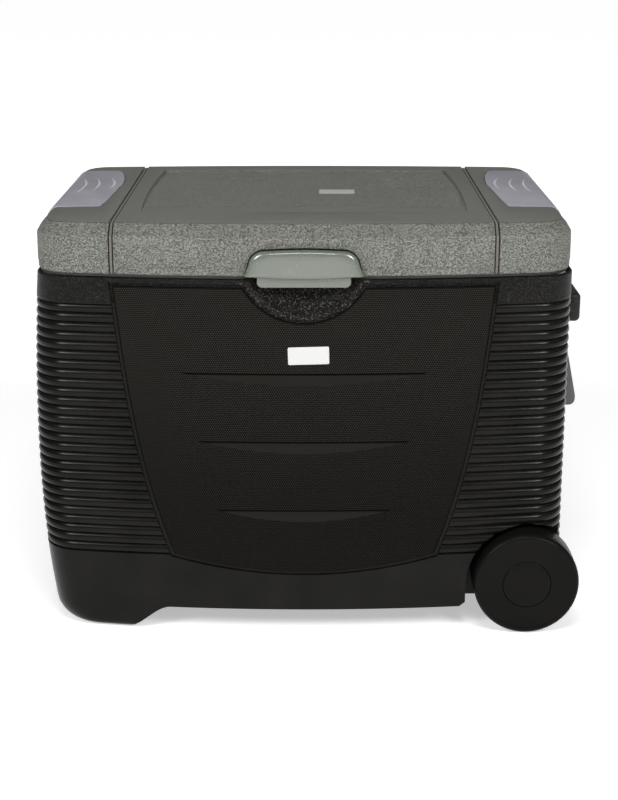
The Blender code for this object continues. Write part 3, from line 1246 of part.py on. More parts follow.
def make_latch(latch, frame, looks):
    face = -LID_FRONT_MIDDLE

    def back(z):
        """The latch's rear edge: deep at its sides and short above the pivot, so it can swing."""
        rise = z - LATCH_PIVOT_Z + LATCH_TURN_ROOM
        share = min(max(rise / (2 * LATCH_TURN_ROOM), 0.0), 1.0)
        return face + LATCH_SIDE_BACK - (LATCH_SIDE_BACK + LATCH_TOP_SHORT) * share

    skirt = latch_outline(0.0, LATCH_BOTTOM - LATCH_SKIRT)
    rings = [[(x, back(z), z) for x, z in skirt]]
    for draw, depth in LATCH_FACE:
        outline = latch_outline(-draw, LATCH_BOTTOM) if draw else skirt
        rings.append([(x, face - depth, z) for x, z in outline])
    handle = piece("latch_handle", loft(rings), looks["gloss_grey"], latch)
    wall = LATCH_WALL
    hollow = []
    for draw, depth in ((LATCH_ROOM[0][0], -EPS), *LATCH_ROOM):
        hollow.append([(x, face - depth, z) for x, z in latch_outline(-draw, LATCH_BOTTOM + wall)])
    boolean(handle, helper("latch_room", loft(hollow)))
    mouth_x = (-CATCH_HALF - GAP, CATCH_HALF + GAP)
    mouth_z = (CATCH_BOTTOM - EPS, LATCH_BOTTOM + 1.5 * wall)
    boolean(handle, helper("catch_mouth", box(mouth_x, (face - CATCH_THICK - GAP, face + EPS), mouth_z)))

    catch_y = (face - CATCH_THICK, face)
    outline = rounded((-CATCH_HALF, CATCH_HALF), (CATCH_BOTTOM, CATCH_TOP), CATCH_CORNER, 4)
    catch = piece("latch_catch", prism(outline, "y", *catch_y), looks["gloss_grey"], latch)
    nose_x = (-STRIKE_HALF + NOSE_SHORT, STRIKE_HALF - NOSE_SHORT)
    nose_z = (STRIKE_Z[0] - NOSE_DROP[0], STRIKE_Z[0] - NOSE_DROP[1])
    nose = box(nose_x, (face - CATCH_THICK / 3, face + CATCH_NOSE), nose_z)
    boolean(catch, helper("catch_nose", nose), "UNION")

    pivot = (face - LATCH_PIN_Y, LATCH_PIVOT_Z)
    reach = LATCH_HALF_TOP - LATCH_PIN_SHORT
    pin = cylinder("x", pivot, LATCH_PIN_R, -reach, reach, 12)
    boolean(handle, helper("latch_pin", pin), "UNION")
    plate_y = (face + PLATE_PROUD, face + SEAM_DEPTH + PLATE_PROUD)
    plate = box((-PLATE_HALF, PLATE_HALF), plate_y, (PLATE_BOTTOM, LATCH_PIVOT_Z))
    boolean(frame, helper("latch_plate", plate), "UNION")
    ear_y, ear_z = (pivot[0] - EAR_FRONT, face + EAR_BACK), (pivot[1] - EAR_RISE[0], pivot[1] + EAR_RISE[1])
    for i, x in enumerate(EAR_X):
        boolean(frame, helper(f"latch_ear_{i}", box((x, x + EAR_THICK), ear_y, ear_z)), "UNION")
    bore = cylinder("x", pivot, LATCH_PIN_R + GAP, -reach, reach, 12)
    boolean(frame, helper("latch_bore", bore))


def make_strike(carrier, looks):
    """The steel tongue in the scoop that the latch's nose closes against."""
    y_front = -LID_FRONT_MIDDLE + STRIKE_FRONT
    y_back = -FRONT_CORNER - FRONT_BOW + SCOOP_DEPTH * STRIKE_REACH
    tongue = box((-STRIKE_HALF, STRIKE_HALF), (y_front, y_back), STRIKE_Z)
    piece("strike_tongue", tongue, looks["steel"], carrier)


def make_hinges(lid, cabinet, looks):
    """Two butt hinges on the back: a leaf on the cabinet, a leaf on the lid and a pin each."""
    axis = (HINGE_Y, HINGE_Z)
    knuckles = 3
    width = 2 * HINGE_HALF / knuckles
    y = (BACK + GAP, BACK + GAP + LEAF_THICK)
    leaves = (
        ("cabinet", cabinet, (HINGE_Z - CABINET_LEAF, HINGE_Z - LEAF_GAP), (0, 2)),
        ("lid", lid, (HINGE_Z + LEAF_GAP, HINGE_Z + LID_LEAF), (1,)),
    )
    for name, x in (("left", -HINGE_X), ("right", HINGE_X)):
        for side, carrier, z, own in leaves:
            plate = box((x - HINGE_HALF, x + HINGE_HALF), y, z)
            leaf = piece(f"hinge_{name}_{side}", plate, looks["steel"], carrier)
            for i in own:
                start = x - HINGE_HALF + width * i
                span = (start + RUN / 2, start + width - RUN / 2)
                knuckle = cylinder("x", axis, HINGE_BARREL_R, *span, 18)
                boolean(leaf, helper(f"knuckle_{name}_{side}_{i}", knuckle), "UNION")
                root = z[1] - LEAF_THICK / 2 if side == "cabinet" else z[0] + LEAF_THICK / 2
                web = box(span, (y[0] + GAP / 4, HINGE_Y - WEB_BACK), sorted((HINGE_Z, root)))
                boolean(leaf, helper(f"web_{name}_{side}_{i}", web), "UNION")
            if side == "lid":
                reach = HINGE_HALF + EPS
                bore = cylinder("x", axis, HINGE_PIN_R + PIN_PLAY, x - reach, x + reach, 14)
                boolean(leaf, helper(f"hinge_bore_{name}", bore))
            else:
                reach = HINGE_HALF + PIN_END
                pin = cylinder("x", axis, HINGE_PIN_R, x - reach, x + reach, 14)
                boolean(leaf, helper(f"hinge_pin_{name}", pin), "UNION")


def make_feet(carrier, looks):
    for name, y in FOOT_PAD_Y.items():
        pad = prism(rounded(FOOT_PAD_X, y, PAD_CORNER, 3), "z", 0.0, FOOT_BOTTOM - GAP)
        piece(f"rubber_foot_{name}", pad, looks["rubber"], carrier)


# --- the whole cooler ---------------------------------------------------------------------------------
def make_looks():
    return {
        "shell_black": material("shell_black", (0.022, 0.021, 0.018), 0.42),
        "panel_black": material("panel_black", (0.024, 0.023, 0.020), 0.55),
        "grain_black": material("grain_black", (0.024, 0.022, 0.019), 0.50),
        "lid_grey": material("lid_grey", (0.215, 0.220, 0.192), 0.55),
        "gloss_grey": material("gloss_grey", (0.300, 0.325, 0.270), 0.22),
        "cover_grey": material("cover_grey", (0.110, 0.120, 0.115), 0.40),
        "flap_violet": material("flap_violet", (0.160, 0.150, 0.190), 0.25, 0.0, 0.8),
        "trim_grey": material("trim_grey", (0.250, 0.255, 0.250), 0.40),
        "frame_brown": material("frame_brown", (0.045, 0.038, 0.030), 0.60),
        "liner_white": material("liner_white", (0.780, 0.790, 0.780), 0.35),
        "foam": material("foam", (0.720, 0.620, 0.380), 0.90),
        "rubber": material("rubber", (0.020, 0.020, 0.020), 0.75),
        "wheel_black": material("wheel_black", (0.016, 0.016, 0.015), 0.45),
        "steel": material("steel", (0.500, 0.500, 0.500), 0.35, 1.0),
        "aluminium": material("aluminium", (0.680, 0.690, 0.700), 0.40, 1.0),
        "copper": material("copper", (0.720, 0.380, 0.220), 0.35, 1.0),
        "compressor_black": material("compressor_black", (0.020, 0.020, 0.022), 0.40),
        "fan_grey": material("fan_grey", (0.060, 0.060, 0.062), 0.50),
        "display": material("display", (0.010, 0.012, 0.014), 0.12),
    }


def make_cooler():
    clear_scene()
    looks = make_looks()
    cabinet = body("cabinet")
    lid = body("lid", (0.0, HINGE_Y, HINGE_Z), cabinet)
    latch = body("latch", (0.0, -LID_FRONT_MIDDLE - LATCH_PIN_Y, LATCH_PIVOT_Z), lid)
    flap_x, flap_z = FLAP_INNER_X - FLAP_HINGE_SLOT / 2, LID_TOP + LID_CROWN / 2
    flaps = {
        "left": body("flap_left", (-flap_x, 0.0, flap_z), lid),
        "right": body("flap_right", (flap_x, 0.0, flap_z), lid),
    }
    handle = body("pull_handle", (ARM_X[0], 0.0, GRIP_Z[0]), cabinet)
    cover = body("socket_cover_body", (COVER_AXIS_X, 0.0, COVER_AXIS_Z), cabinet)
    front_wheel = body("front_wheel", (WHEEL_X, -WHEEL_FRONT_FACE, WHEEL_R), cabinet)
    rear_wheel = body("rear_wheel", (WHEEL_X, WHEEL_BACK_FACE, WHEEL_R), cabinet)
    fan = body("fan", (FAN_X, FAN_Y[0], FAN_Z), cabinet)
    keys = {}
    for name, y in BUTTON_Y.items():
        keys[name] = body(f"{name}_body", (PANEL_PLATE_X[1], y, BUTTON_Z), cabinet)

    make_outer_shell(cabinet, looks)
    make_front_panel(cabinet, looks)
    make_food_compartment(cabinet, looks)
    make_machine_deck(cabinet, looks)
    make_compressor(cabinet, looks)
    make_cooling_loop(cabinet, looks)
    make_fan_rotor(fan, looks)
    make_electronics(cabinet, looks)
    make_grilles(cabinet, looks)
    make_socket_panel(cabinet, looks)
    make_buttons(keys, looks)
    make_socket_cover(cover, cabinet, looks)
    make_pull_handle(handle, cabinet, looks)
    make_wheel("front", -WHEEL_FRONT_FACE, front_wheel, looks)
    make_wheel("rear", WHEEL_BACK_FACE, rear_wheel, looks)
    make_axle(cabinet, looks)
    make_feet(cabinet, looks)
    frame = make_lid(lid, looks)
    make_flap("left", -1, flaps["left"], looks)
    make_flap("right", 1, flaps["right"], looks)
    make_latch(latch, frame, looks)
    make_strike(cabinet, looks)
    make_hinges(lid, cabinet, looks)


make_cooler()
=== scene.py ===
"""The finished look of the wheeled compressor cooler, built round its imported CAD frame.

Shapes are drawn about the cabinet's own centre, X along the cooler towards the wheels, Y towards the
hinges and Z up, in metres. HOME then puts them where the CAD nodes are.
"""
import json
import math

import bmesh
import bpy
from mathutils import Matrix, Vector


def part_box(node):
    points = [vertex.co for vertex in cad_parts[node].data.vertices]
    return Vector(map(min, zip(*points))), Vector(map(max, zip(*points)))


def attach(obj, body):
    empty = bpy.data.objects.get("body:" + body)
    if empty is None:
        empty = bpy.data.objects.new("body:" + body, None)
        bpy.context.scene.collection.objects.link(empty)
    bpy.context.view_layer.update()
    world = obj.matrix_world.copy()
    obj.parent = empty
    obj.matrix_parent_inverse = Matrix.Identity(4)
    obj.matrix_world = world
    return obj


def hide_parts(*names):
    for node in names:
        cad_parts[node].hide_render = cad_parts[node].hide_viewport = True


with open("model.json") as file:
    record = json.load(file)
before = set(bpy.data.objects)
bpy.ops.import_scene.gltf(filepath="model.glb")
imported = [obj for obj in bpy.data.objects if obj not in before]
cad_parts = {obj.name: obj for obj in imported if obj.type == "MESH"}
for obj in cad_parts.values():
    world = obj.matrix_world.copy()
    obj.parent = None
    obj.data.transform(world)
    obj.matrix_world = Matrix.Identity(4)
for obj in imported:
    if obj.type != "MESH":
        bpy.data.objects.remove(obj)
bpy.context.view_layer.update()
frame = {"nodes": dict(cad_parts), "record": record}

# --- where the CAD pieces are -----------------------------------------------------------------
COVER_LOW, COVER_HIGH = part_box("lid_cover")
SHELL_LOW, SHELL_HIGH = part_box("outer_shell")
BACK = 0.1985             # the flat back wall, from the cabinet's centre
HOME = Vector(((COVER_LOW.x + COVER_HIGH.x) / 2, SHELL_HIGH.y - BACK, 0.0))

# --- fits -------------------------------------------------------------------------------------
GAP = 0.0004
WALL = 0.003
EPS = 0.03                # how far a cutter passes what it cuts

# --- cabinet ----------------------------------------------------------------------------------
BODY_RIGHT = 0.272
BODY_LEFT = 0.2705
LEFT_BULGE = 0.0075
LEFT_TUCK = 0.016
BULGE_Z = 0.200
FRONT_CORNER = 0.1925
FRONT_BOW = 0.018
CORNER_FRONT = 0.042
CORNER_BACK = 0.034
BODY_TOP = 0.377
FOOT_BOTTOM = 0.001
FOOT_CORNER = 0.020
EDGE_ROUND = 0.006
BELLY_Z = 0.0265
FOOT_INNER_X = -0.190
FOOT_RISE = 0.050
TOP_ROUND = 0.0022
BAND_Z = 0.3515           # the leather-grained band below the lid starts here
LOWER_RISES = (0.0, 0.0006, 0.0018, 0.0035, 0.006, 0.010, 0.016, 0.022, 0.028)
UPPER_LEVELS = (0.040, 0.055, 0.070, 0.084, 0.120, 0.160, 0.200, 0.250, 0.300, 0.345)

# --- ribs round the cabinet -------------------------------------------------------------------
RIB_COUNT = 27
RIB_PITCH = 0.0098
RIB_LOWEST = 0.0902       # middle of the lowest rib
RIB_DEPTH = 0.0027
RIB_STEPS = 10
RIB_FREE = 0.120          # no ribs behind the front panel within this half width

# --- lid --------------------------------------------------------------------------------------
LID_HALF = 0.2695
LID_BOTTOM = 0.380
LID_SHOULDER = 0.418
LID_TOP = 0.429
LID_CROWN = 0.002
LID_INSET = 0.001
LID_FRONT_MIDDLE = FRONT_CORNER + FRONT_BOW - LID_INSET
SEAM_X = 0.1905
SEAM_WIDTH = 0.0052
LID_WALL = 0.0034
COVER_EASE = 0.0007       # how far the middle cover's edges are rounded
END_EASE = 0.0006
STRIP_HALF = 0.0012       # half the width of the strip in a seam
STRIP_SUNK = (0.0012, 0.0036)    # its face and its back, in from the lid's outside
BED_HALF = 0.0034         # half the width of the bed under the strip
BED_SUNK = (0.0032, 0.0044)
SHADE_LIP_Z = (LID_BOTTOM - 0.0024, LID_BOTTOM + 0.0030)
SHADE_LIP_INSET = (0.0024, 0.0040)    # the dark rubber lip's outside and inside, in from the lid's outside; the lip is painted shade in the gap under the lid
TRAY_HALF = (0.1655, 0.1710)     # half the sunk field's width at its ends and at its waist
TRAY_WAIST_Y = 0.005
TRAY_FRONT_Y = -0.136
TRAY_BACK_Y = 0.154
TRAY_DEPTH = 0.0027
TRAY_WALL = 0.0010
TRAY_FADE = 0.050         # the length over which the field sinks in from the front
BADGE_X = (0.0160, 0.0545)
BADGE_Y = (-0.0140, 0.0125)
LID_PROFILE = (           # height, draw-in at the front, draw-in elsewhere
    (0.3800, 0.0018, 0.0018),
    (0.3806, 0.0010, 0.0010),
    (0.3816, 0.0005, 0.0005),
    (0.3876, 0.0005, 0.0005),
    (0.3882, 0.0000, 0.0000),
    (0.4140, 0.0000, 0.0001),
    (0.4166, 0.0001, 0.0004),
    (0.4174, 0.0004, 0.0008),
    (0.4181, 0.0010, 0.0013),
    (0.4188, 0.0020, 0.0018),
    (0.4210, 0.0050, 0.0028),
    (0.4240, 0.0090, 0.0047),
    (0.4268, 0.0127, 0.0072),
    (0.4277, 0.0140, 0.0088),
    (0.4284, 0.0152, 0.0104),
    (0.4288, 0.0162, 0.0120),
    (0.4290, 0.0174, 0.0140),
)

# --- flaps and pockets ------------------------------------------------------------------------
FLAP_FRONT_Y = -0.0925
FLAP_BACK_Y = 0.1475
FLAP_EDGE = (             # the flap's inner edge from front to back, |x| and y
    (0.2185, -0.0925), (0.2120, -0.0905), (0.2100, -0.0700), (0.2082, -0.0350), (0.2066, 0.0050),
    (0.2060, 0.0300), (0.2045, 0.0335), (0.2048, 0.0600), (0.2062, 0.0850), (0.2095, 0.1120),
    (0.2128, 0.1290), (0.2155, 0.1395), (0.2190, 0.1450), (0.2250, 0.1475),
)
FLAP_PROUD = 0.0010
FLAP_SUNK = 0.0014
FLAP_LIP_Z = 0.404
POCKET_X = (0.2145, 0.2550)
POCKET_Y = (-0.0800, 0.1360)
POCKET_FLOOR = 0.397
FLAP_MARKS = (            # |x| and y of each crescent's back tip, middle and front tip
    ((0.2540, 0.0900), (0.2458, 0.0460), (0.2490, -0.0090)),
    ((0.2390, 0.0910), (0.2308, 0.0490), (0.2330, 0.0020)),
    ((0.2225, 0.0920), (0.2142, 0.0540), (0.2160, 0.0140)),
)
MARK_HALF = 0.0016
MARK_TIP = 0.0002
MARK_SUNK = 0.0005
MARK_RISE = 0.00032
MARK_STEPS = 28
MARK_SIDES = 12

# --- latch ------------------------------------------------------------------------------------
LATCH_TOP = 0.4065
LATCH_BOTTOM = 0.3785
LATCH_HALF_BOTTOM = 0.0585
LATCH_HALF_TOP = 0.0525
LATCH_CORNER = 0.016
LATCH_PROUD = 0.0100
LATCH_PIVOT_Z = 0.4000
LATCH_MIDDLE_Z = 0.3930
LATCH_GAP = 0.0011        # the gap round the latch in the lid
LATCH_BITE_Y = -0.150     # how far back the latch's opening is cut
LATCH_SHIFT = 0.002       # how far the corners stand out past the top's ends
LATCH_SLANT = 0.12        # the turn that the corners leave out, in radians
CROWN_HALF = 0.035
CROWN_RISE = 0.0012
LATCH_BOW = 0.0026        # how far the lower edge bows down in the middle
LATCH_WALL = 0.0022
LATCH_PIN = (0.0012, 0.048)      # radius and half length
CATCH_HALF = 0.0462
CATCH_BOTTOM = 0.3700
CATCH_TOP = 0.3905
CATCH_THICK = 0.0032
CATCH_CORNER = 0.0055
NOSE_HALF = 0.015
NOSE_REACH = 0.0034
NOSE_Z = (0.3703, 0.3728)

# --- front panel and scoop --------------------------------------------------------------------
PANEL_TOP_Z = 0.369
PANEL_BOTTOM_Z = 0.087
PANEL_TOP_X = 0.1905
PANEL_SIDE_LINEAR = 0.0295
PANEL_SIDE_CUBIC = 0.0265
PANEL_ARC_DROP = 0.0185
PANEL_THICK = 0.002
PANEL_SEAM = 0.0034
SCOOP_CENTRE_Z = 0.402
SCOOP_RADIUS = 0.0605
SCOOP_DEPTH = 0.024
SCOOP_RIM = 0.008
CRESCENTS = ((0.2815, 0.1265), (0.2100, 0.1105), (0.1365, 0.0920))
CRESCENT_DROP = 0.0130
CRESCENT_DEPTH = 0.0018
RECESS_BACK_Y = -0.120
LABEL_X = 0.0045
LABEL_Z = (0.2915, 0.3095)
LABEL_HALF = 0.0205
LABEL_CORNER = 0.0012
LABEL_LIFT = 0.0002
LABEL_TURN = -1.5         # degrees

# --- wheels -----------------------------------------------------------------------------------
WHEEL_X = 0.231
WHEEL_R = 0.0547
WHEEL_WIDTH = 0.038
WHEEL_FRONT_FACE = 0.2125
WHEEL_BACK_FACE = 0.2010
WELL_GAP = 0.0055
AXLE_BORE = 0.0044
CAP_R = 0.0248
WELL_WIDE = 0.0080        # the well's radius beyond the wheel's
WELL_DROP = 0.0030
WELL_CHAMFER = (0.0060, 0.0045)

# --- handle end -------------------------------------------------------------------------------
BAY_X = 0.2695
BAY_HALF = 0.1260
BAY_LOW = 0.048
FINGER_HALF = 0.052
FINGER_Z = (0.3135, 0.3620)
FINGER_DEPTH = 0.022
FINGER_CORNER = 0.008
HOLD_HALF = 0.060
HOLD_Z = (0.296, 0.334)
HOLD_CORNER = 0.012
HOLD_DEPTH = 0.020
GRILLE_RIM = 0.008
INTAKE_RIM = 0.006
GRILLE_X = (0.1560, 0.2480)
GRILLE_Z = (0.1350, 0.3350)
INTAKE_Z = (0.1300, 0.1950)
INTAKE_HALF = 0.0640
SOCKET_HALF = 0.0640
SOCKET_Z = (0.2200, 0.2980)
COVER_AXIS = (0.2742, 0.3085)
COVER_BARREL_R = 0.0030
COVER_HALF = 0.0700
EAR_TAIL = 0.002
EAR_CORNER = 0.0025
ARM_INNER_Y = 0.076
ARM_X = (0.2714, 0.2770)
GRIP_HALF = 0.1235
GRIP_Z = (0.3135, 0.3440)
GRIP_OUT = 0.288
GRIP_CORNER = 0.0052
GRIP_FLAT = 0.45          # how far the inner corners are pressed flat
GRIP_SOCKET = 0.0165
ARM_WIDTH = 0.020
GUIDE_WALL = 0.0020
RUN = 0.0008


# --- meshes -----------------------------------------------------------------------------------
def to_mesh(bm):
    """A mesh from a bmesh, with doubles merged and faces pointing out."""
    bmesh.ops.remove_doubles(bm, verts=bm.verts, dist=1e-7)
    bmesh.ops.recalc_face_normals(bm, faces=bm.faces)
    mesh = bpy.data.meshes.new("shape")
    bm.to_mesh(mesh)
    bm.free()
    return mesh


def loft(rings, strip_caps=False, closed_path=False):
    """A closed skin through rings of equal length."""
    bm = bmesh.new()
    rows = [[bm.verts.new(point) for point in ring] for ring in rings]
    count = len(rows[0])
    following = rows[1:] + rows[:1] if closed_path else rows[1:]
    for lower, upper in zip(rows, following):
        for i in range(count):
            j = (i + 1) % count
            bm.faces.new((lower[i], lower[j], upper[j], upper[i]))
    if not closed_path:
        for row in (rows[0], rows[-1]):
            if strip_caps:
                for i in range(count // 2 - 1):
                    bm.faces.new((row[i], row[i + 1], row[count - 2 - i], row[count - 1 - i]))
            else:
                bm.faces.new(row)
    return to_mesh(bm)


def prism(outline, axis, low, high):
    """An outline extruded along an axis. Its points are the two other coordinates, in X, Y, Z order."""
    place = {
        "x": lambda p, d: (d, p[0], p[1]),
        "y": lambda p, d: (p[0], d, p[1]),
        "z": lambda p, d: (p[0], p[1], d),
    }[axis]
    return loft([[place(p, d) for p in outline] for d in (low, high)])


def box(x, y, z):
    """A block between pairs of limits."""
    return prism([(x[0], y[0]), (x[1], y[0]), (x[1], y[1]), (x[0], y[1])], "z", z[0], z[1])


def circle(cx, cy, radius, steps, start=0.0, sweep=math.tau):
    """Points round a circle, or along an arc whose two ends are both given."""
    last = steps if abs(sweep - math.tau) < 1e-9 else steps - 1
    turns = [start + sweep * i / last for i in range(steps)]
    return [(cx + radius * math.cos(t), cy + radius * math.sin(t)) for t in turns]


def rounded(x, y, radius, steps=8):
    """A rectangle with round corners."""
    points = []
    for cx, cy, start in (
        (x[0] + radius, y[0] + radius, math.pi),
        (x[1] - radius, y[0] + radius, 1.5 * math.pi),
        (x[1] - radius, y[1] - radius, 0.0),
        (x[0] + radius, y[1] - radius, 0.5 * math.pi),
    ):
        points += circle(cx, cy, radius, steps, start, math.pi / 2)
    return points


def slab(near, far):
    """A closed skin between two grids of points of the same size."""
    bm = bmesh.new()
    grids = [[[bm.verts.new(point) for point in line] for line in grid] for grid in (near, far)]
    rows, columns = len(near) - 1, len(near[0]) - 1
    for i in range(rows):
        for j in range(columns):
            for grid in grids:
                bm.faces.new((grid[i][j], grid[i][j + 1], grid[i + 1][j + 1], grid[i + 1][j]))
    near, far = grids
    for j in range(columns):
        for i in (0, rows):
            bm.faces.new((near[i][j], near[i][j + 1], far[i][j + 1], far[i][j]))
    for i in range(rows):
        for j in (0, columns):
            bm.faces.new((near[i][j], near[i + 1][j], far[i + 1][j], far[i][j]))
    bmesh.ops.triangulate(bm, faces=bm.faces)
    return to_mesh(bm)


def evaluated(obj):
    """The mesh an object has after its modifiers; the object itself is then removed."""
    graph = bpy.context.evaluated_depsgraph_get()
    mesh = bpy.data.meshes.new_from_object(obj.evaluated_get(graph))
    bpy.data.objects.remove(obj)
    return mesh


def temporary(mesh):
    obj = bpy.data.objects.new("temporary", mesh)
    bpy.context.scene.collection.objects.link(obj)
    return obj


def cut(mesh, others, operation="DIFFERENCE"):
    """The mesh after one Boolean with all the others."""
    target = temporary(mesh)
    group = bpy.data.collections.new("others")
    tools = [temporary(other) for other in others]
    for tool in tools:
        group.objects.link(tool)
    step = target.modifiers.new("cut", "BOOLEAN")
    step.operation = operation
    step.solver = "EXACT"
    if len(tools) == 1:
        step.object = tools[0]
    else:
        step.operand_type = "COLLECTION"
        step.collection = group
    result = evaluated(target)
    for tool in tools:
        bpy.data.objects.remove(tool)
    bpy.data.collections.remove(group)
    return result


def joined(meshes):
    bm = bmesh.new()
    for mesh in meshes:
        bm.from_mesh(mesh)
    return to_mesh(bm)


def mirrored(mesh):
    """A copy reflected to the other end of the cooler."""
    copy = mesh.copy()
    copy.transform(Matrix.Diagonal((-1, 1, 1, 1)))
    copy.flip_normals()
    return copy


def with_modifier(mesh, kind, **settings):
    obj = temporary(mesh)
    step = obj.modifiers.new("step", kind)
    for name, value in settings.items():
        setattr(step, name, value)
    return evaluated(obj)


def edges_eased(mesh, width, segments=2, angle=32):
    """The mesh with its sharp edges rounded."""
    return with_modifier(
        mesh, "BEVEL", width=width, segments=segments, limit_method="ANGLE",
        angle_limit=math.radians(angle), use_clamp_overlap=True, harden_normals=False,
    )


def tidied(mesh, angle=0.6):
    """The mesh with its doubles merged and the splits in its flat faces dissolved."""
    bm = bmesh.new()
    bm.from_mesh(mesh)
    bmesh.ops.remove_doubles(bm, verts=bm.verts, dist=1e-6)
    bmesh.ops.dissolve_limit(bm, angle_limit=math.radians(angle), verts=bm.verts, edges=bm.edges)
    bmesh.ops.recalc_face_normals(bm, faces=bm.faces)
    bm.to_mesh(mesh)
    bm.free()
    return mesh


def piece(name, mesh, material, body, nodes=(), smooth=35, home=True):
    """A finished piece: it takes its place, its material and its body, and stands for CAD nodes."""
    if home:
        mesh.transform(Matrix.Translation(HOME))
    mesh.name = name
    mesh.materials.clear()
    mesh.materials.append(material)
    mesh.shade_smooth()
    mesh.set_sharp_from_angle(angle=math.radians(smooth))
    obj = bpy.data.objects.new(name, mesh)
    bpy.context.scene.collection.objects.link(obj)
    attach(obj, body)
    if nodes:
        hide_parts(*nodes)
    return obj


# --- node trees -------------------------------------------------------------------------------
class Wire:
    """One output of a node. Sums on it add Math nodes."""

    def __init__(self, tree, socket):
        self.tree = tree
        self.socket = socket

    def math(self, operation, *values):
        kind = "ShaderNodeMath"
        return self.tree.add(kind, {"operation": operation}, dict(enumerate(values)))

    def __add__(self, other):
        return self.math("ADD", self, other)

    __radd__ = __add__

    def __sub__(self, other):
        return self.math("SUBTRACT", self, other)

    def __rsub__(self, other):
        return self.math("SUBTRACT", other, self)

    def __mul__(self, other):
        return self.math("MULTIPLY", self, other)

    __rmul__ = __mul__

    def __truediv__(self, other):
        return self.math("DIVIDE", self, other)

    def __pow__(self, other):
        return self.math("POWER", self, other)

    def root(self):
        return self.math("SQRT", self)

    def fraction(self):
        return self.math("FRACT", self)

    def at_least(self, other):
        return self.math("MAXIMUM", self, other)

    def at_most(self, other):
        return self.math("MINIMUM", self, other)

    def over(self, limit):
        return self.math("GREATER_THAN", self, limit)

    def ramp(self, low, high):
        """Runs smoothly from 0 at low to 1 at high."""
        inputs = {"Value": self, "From Min": low, "From Max": high, "To Min": 0.0, "To Max": 1.0}
        return self.tree.add("ShaderNodeMapRange", {"interpolation_type": "SMOOTHSTEP"}, inputs)


class Tree:
    """A node tree that nodes are added to in one call each."""

    def __init__(self, nodes):
        self.nodes = nodes

    def add(self, kind, settings=None, inputs=None, output=0):
        node = self.nodes.nodes.new(kind)
        for name, value in (settings or {}).items():
            setattr(node, name, value)
        for key, value in (inputs or {}).items():
            if isinstance(value, Wire):
                self.nodes.links.new(value.socket, node.inputs[key])
            else:
                node.inputs[key].default_value = value
        return Wire(self, node.outputs[output])

    def stretch(self, place, factors):
        settings = {"operation": "MULTIPLY"}
        return self.add("ShaderNodeVectorMath", settings, {0: place, 1: factors})

    def axes(self, place):
        split = self.nodes.nodes.new("ShaderNodeSeparateXYZ")
        self.nodes.links.new(place.socket, split.inputs[0])
        return [Wire(self, output) for output in split.outputs]

    def noise(self, place, size, detail=2.0, roughness=0.5, output=0):
        """Soft noise whose features are about this size, in metres."""
        inputs = {"Vector": place, "Scale": 1 / size, "Detail": detail, "Roughness": roughness}
        return self.add("ShaderNodeTexNoise", {}, inputs, output)

    def blend(self, factor, first, second):
        inputs = {0: factor, 6: (*first, 1.0), 7: (*second, 1.0)}
        return self.add("ShaderNodeMix", {"data_type": "RGBA"}, inputs, 2)


# --- finishes ---------------------------------------------------------------------------------
def leather_grain(tree, place, cell):
    """Creased leather: pebbles drawn out sideways, parted by winding furrows."""
    wide = tree.stretch(place, (0.70, 1.0, 1.0))
    folds = {"Vector": wide, "Scale": 1 / cell, "Detail": 1.0, "Roughness": 0.5, "Distortion": 0.5}
    worms = tree.add("ShaderNodeTexNoise", {}, folds, 0) - 0.5
    crease = worms.math("ABSOLUTE", worms).ramp(0.0, 0.062)
    return crease * 0.8 + tree.noise(wide, cell * 0.6, 1.0) * 0.3


def fine_grain(tree, place, size):
    """The faint sparkle of an etched mould."""
    return tree.noise(place, size, 3.0, 0.6)


def dot_weave(tree, place, pitch):
    """Small domes in staggered rows, on X and Z, with a furrow between them."""
    x, _, z = tree.axes(place)
    rows = pitch * math.sqrt(3)

    def domes(shift):
        across = ((x / pitch + shift).fraction() - 0.5) * pitch
        along = ((z / rows + shift).fraction() - 0.5) * rows
        reach = (across * across + along * along).root()
        return 1 - reach.ramp(pitch * 0.16, pitch * 0.46)

    return domes(0.0).at_least(domes(0.5))


def scuffs(tree, place, size, share):
    """Thin pale rubs, long in one direction and sparse."""
    long = tree.stretch(place, (0.22, 1.0, 1.0))
    lines = tree.noise(long, size, 4.0, 0.7)
    patches = tree.noise(place, size * 22, 2.0)
    return lines.ramp(1 - share, 1.0) * patches.ramp(0.45, 0.75)


def new_material(name, roughness, metallic, uniform):
    """A material, its tree, its shader and the wire of Object coordinates."""
    material = bpy.data.materials.new(name)
    material.use_nodes = True
    shader = material.node_tree.nodes["Principled BSDF"]
    shader.inputs["Roughness"].default_value = roughness
    shader.inputs["Metallic"].default_value = metallic
    for key, value in uniform.items():
        shader.inputs[key].default_value = value
    tree = Tree(material.node_tree)
    place = tree.add("ShaderNodeTexCoord", {}, {}, "Object")
    return material, tree, shader, place


def connect(tree, shader, colour=None, roughness=None, height=None, depth=0.0, strength=1.0):
    """Feeds the shader what changes over the surface."""
    links = tree.nodes.links
    if colour is not None:
        links.new(colour.socket, shader.inputs["Base Color"])
    if roughness is not None:
        links.new(roughness.socket, shader.inputs["Roughness"])
    if height is not None:
        inputs = {"Strength": strength, "Distance": depth, "Height": height}
        bump = tree.add("ShaderNodeBump", {}, inputs)
        links.new(bump.socket, shader.inputs["Normal"])


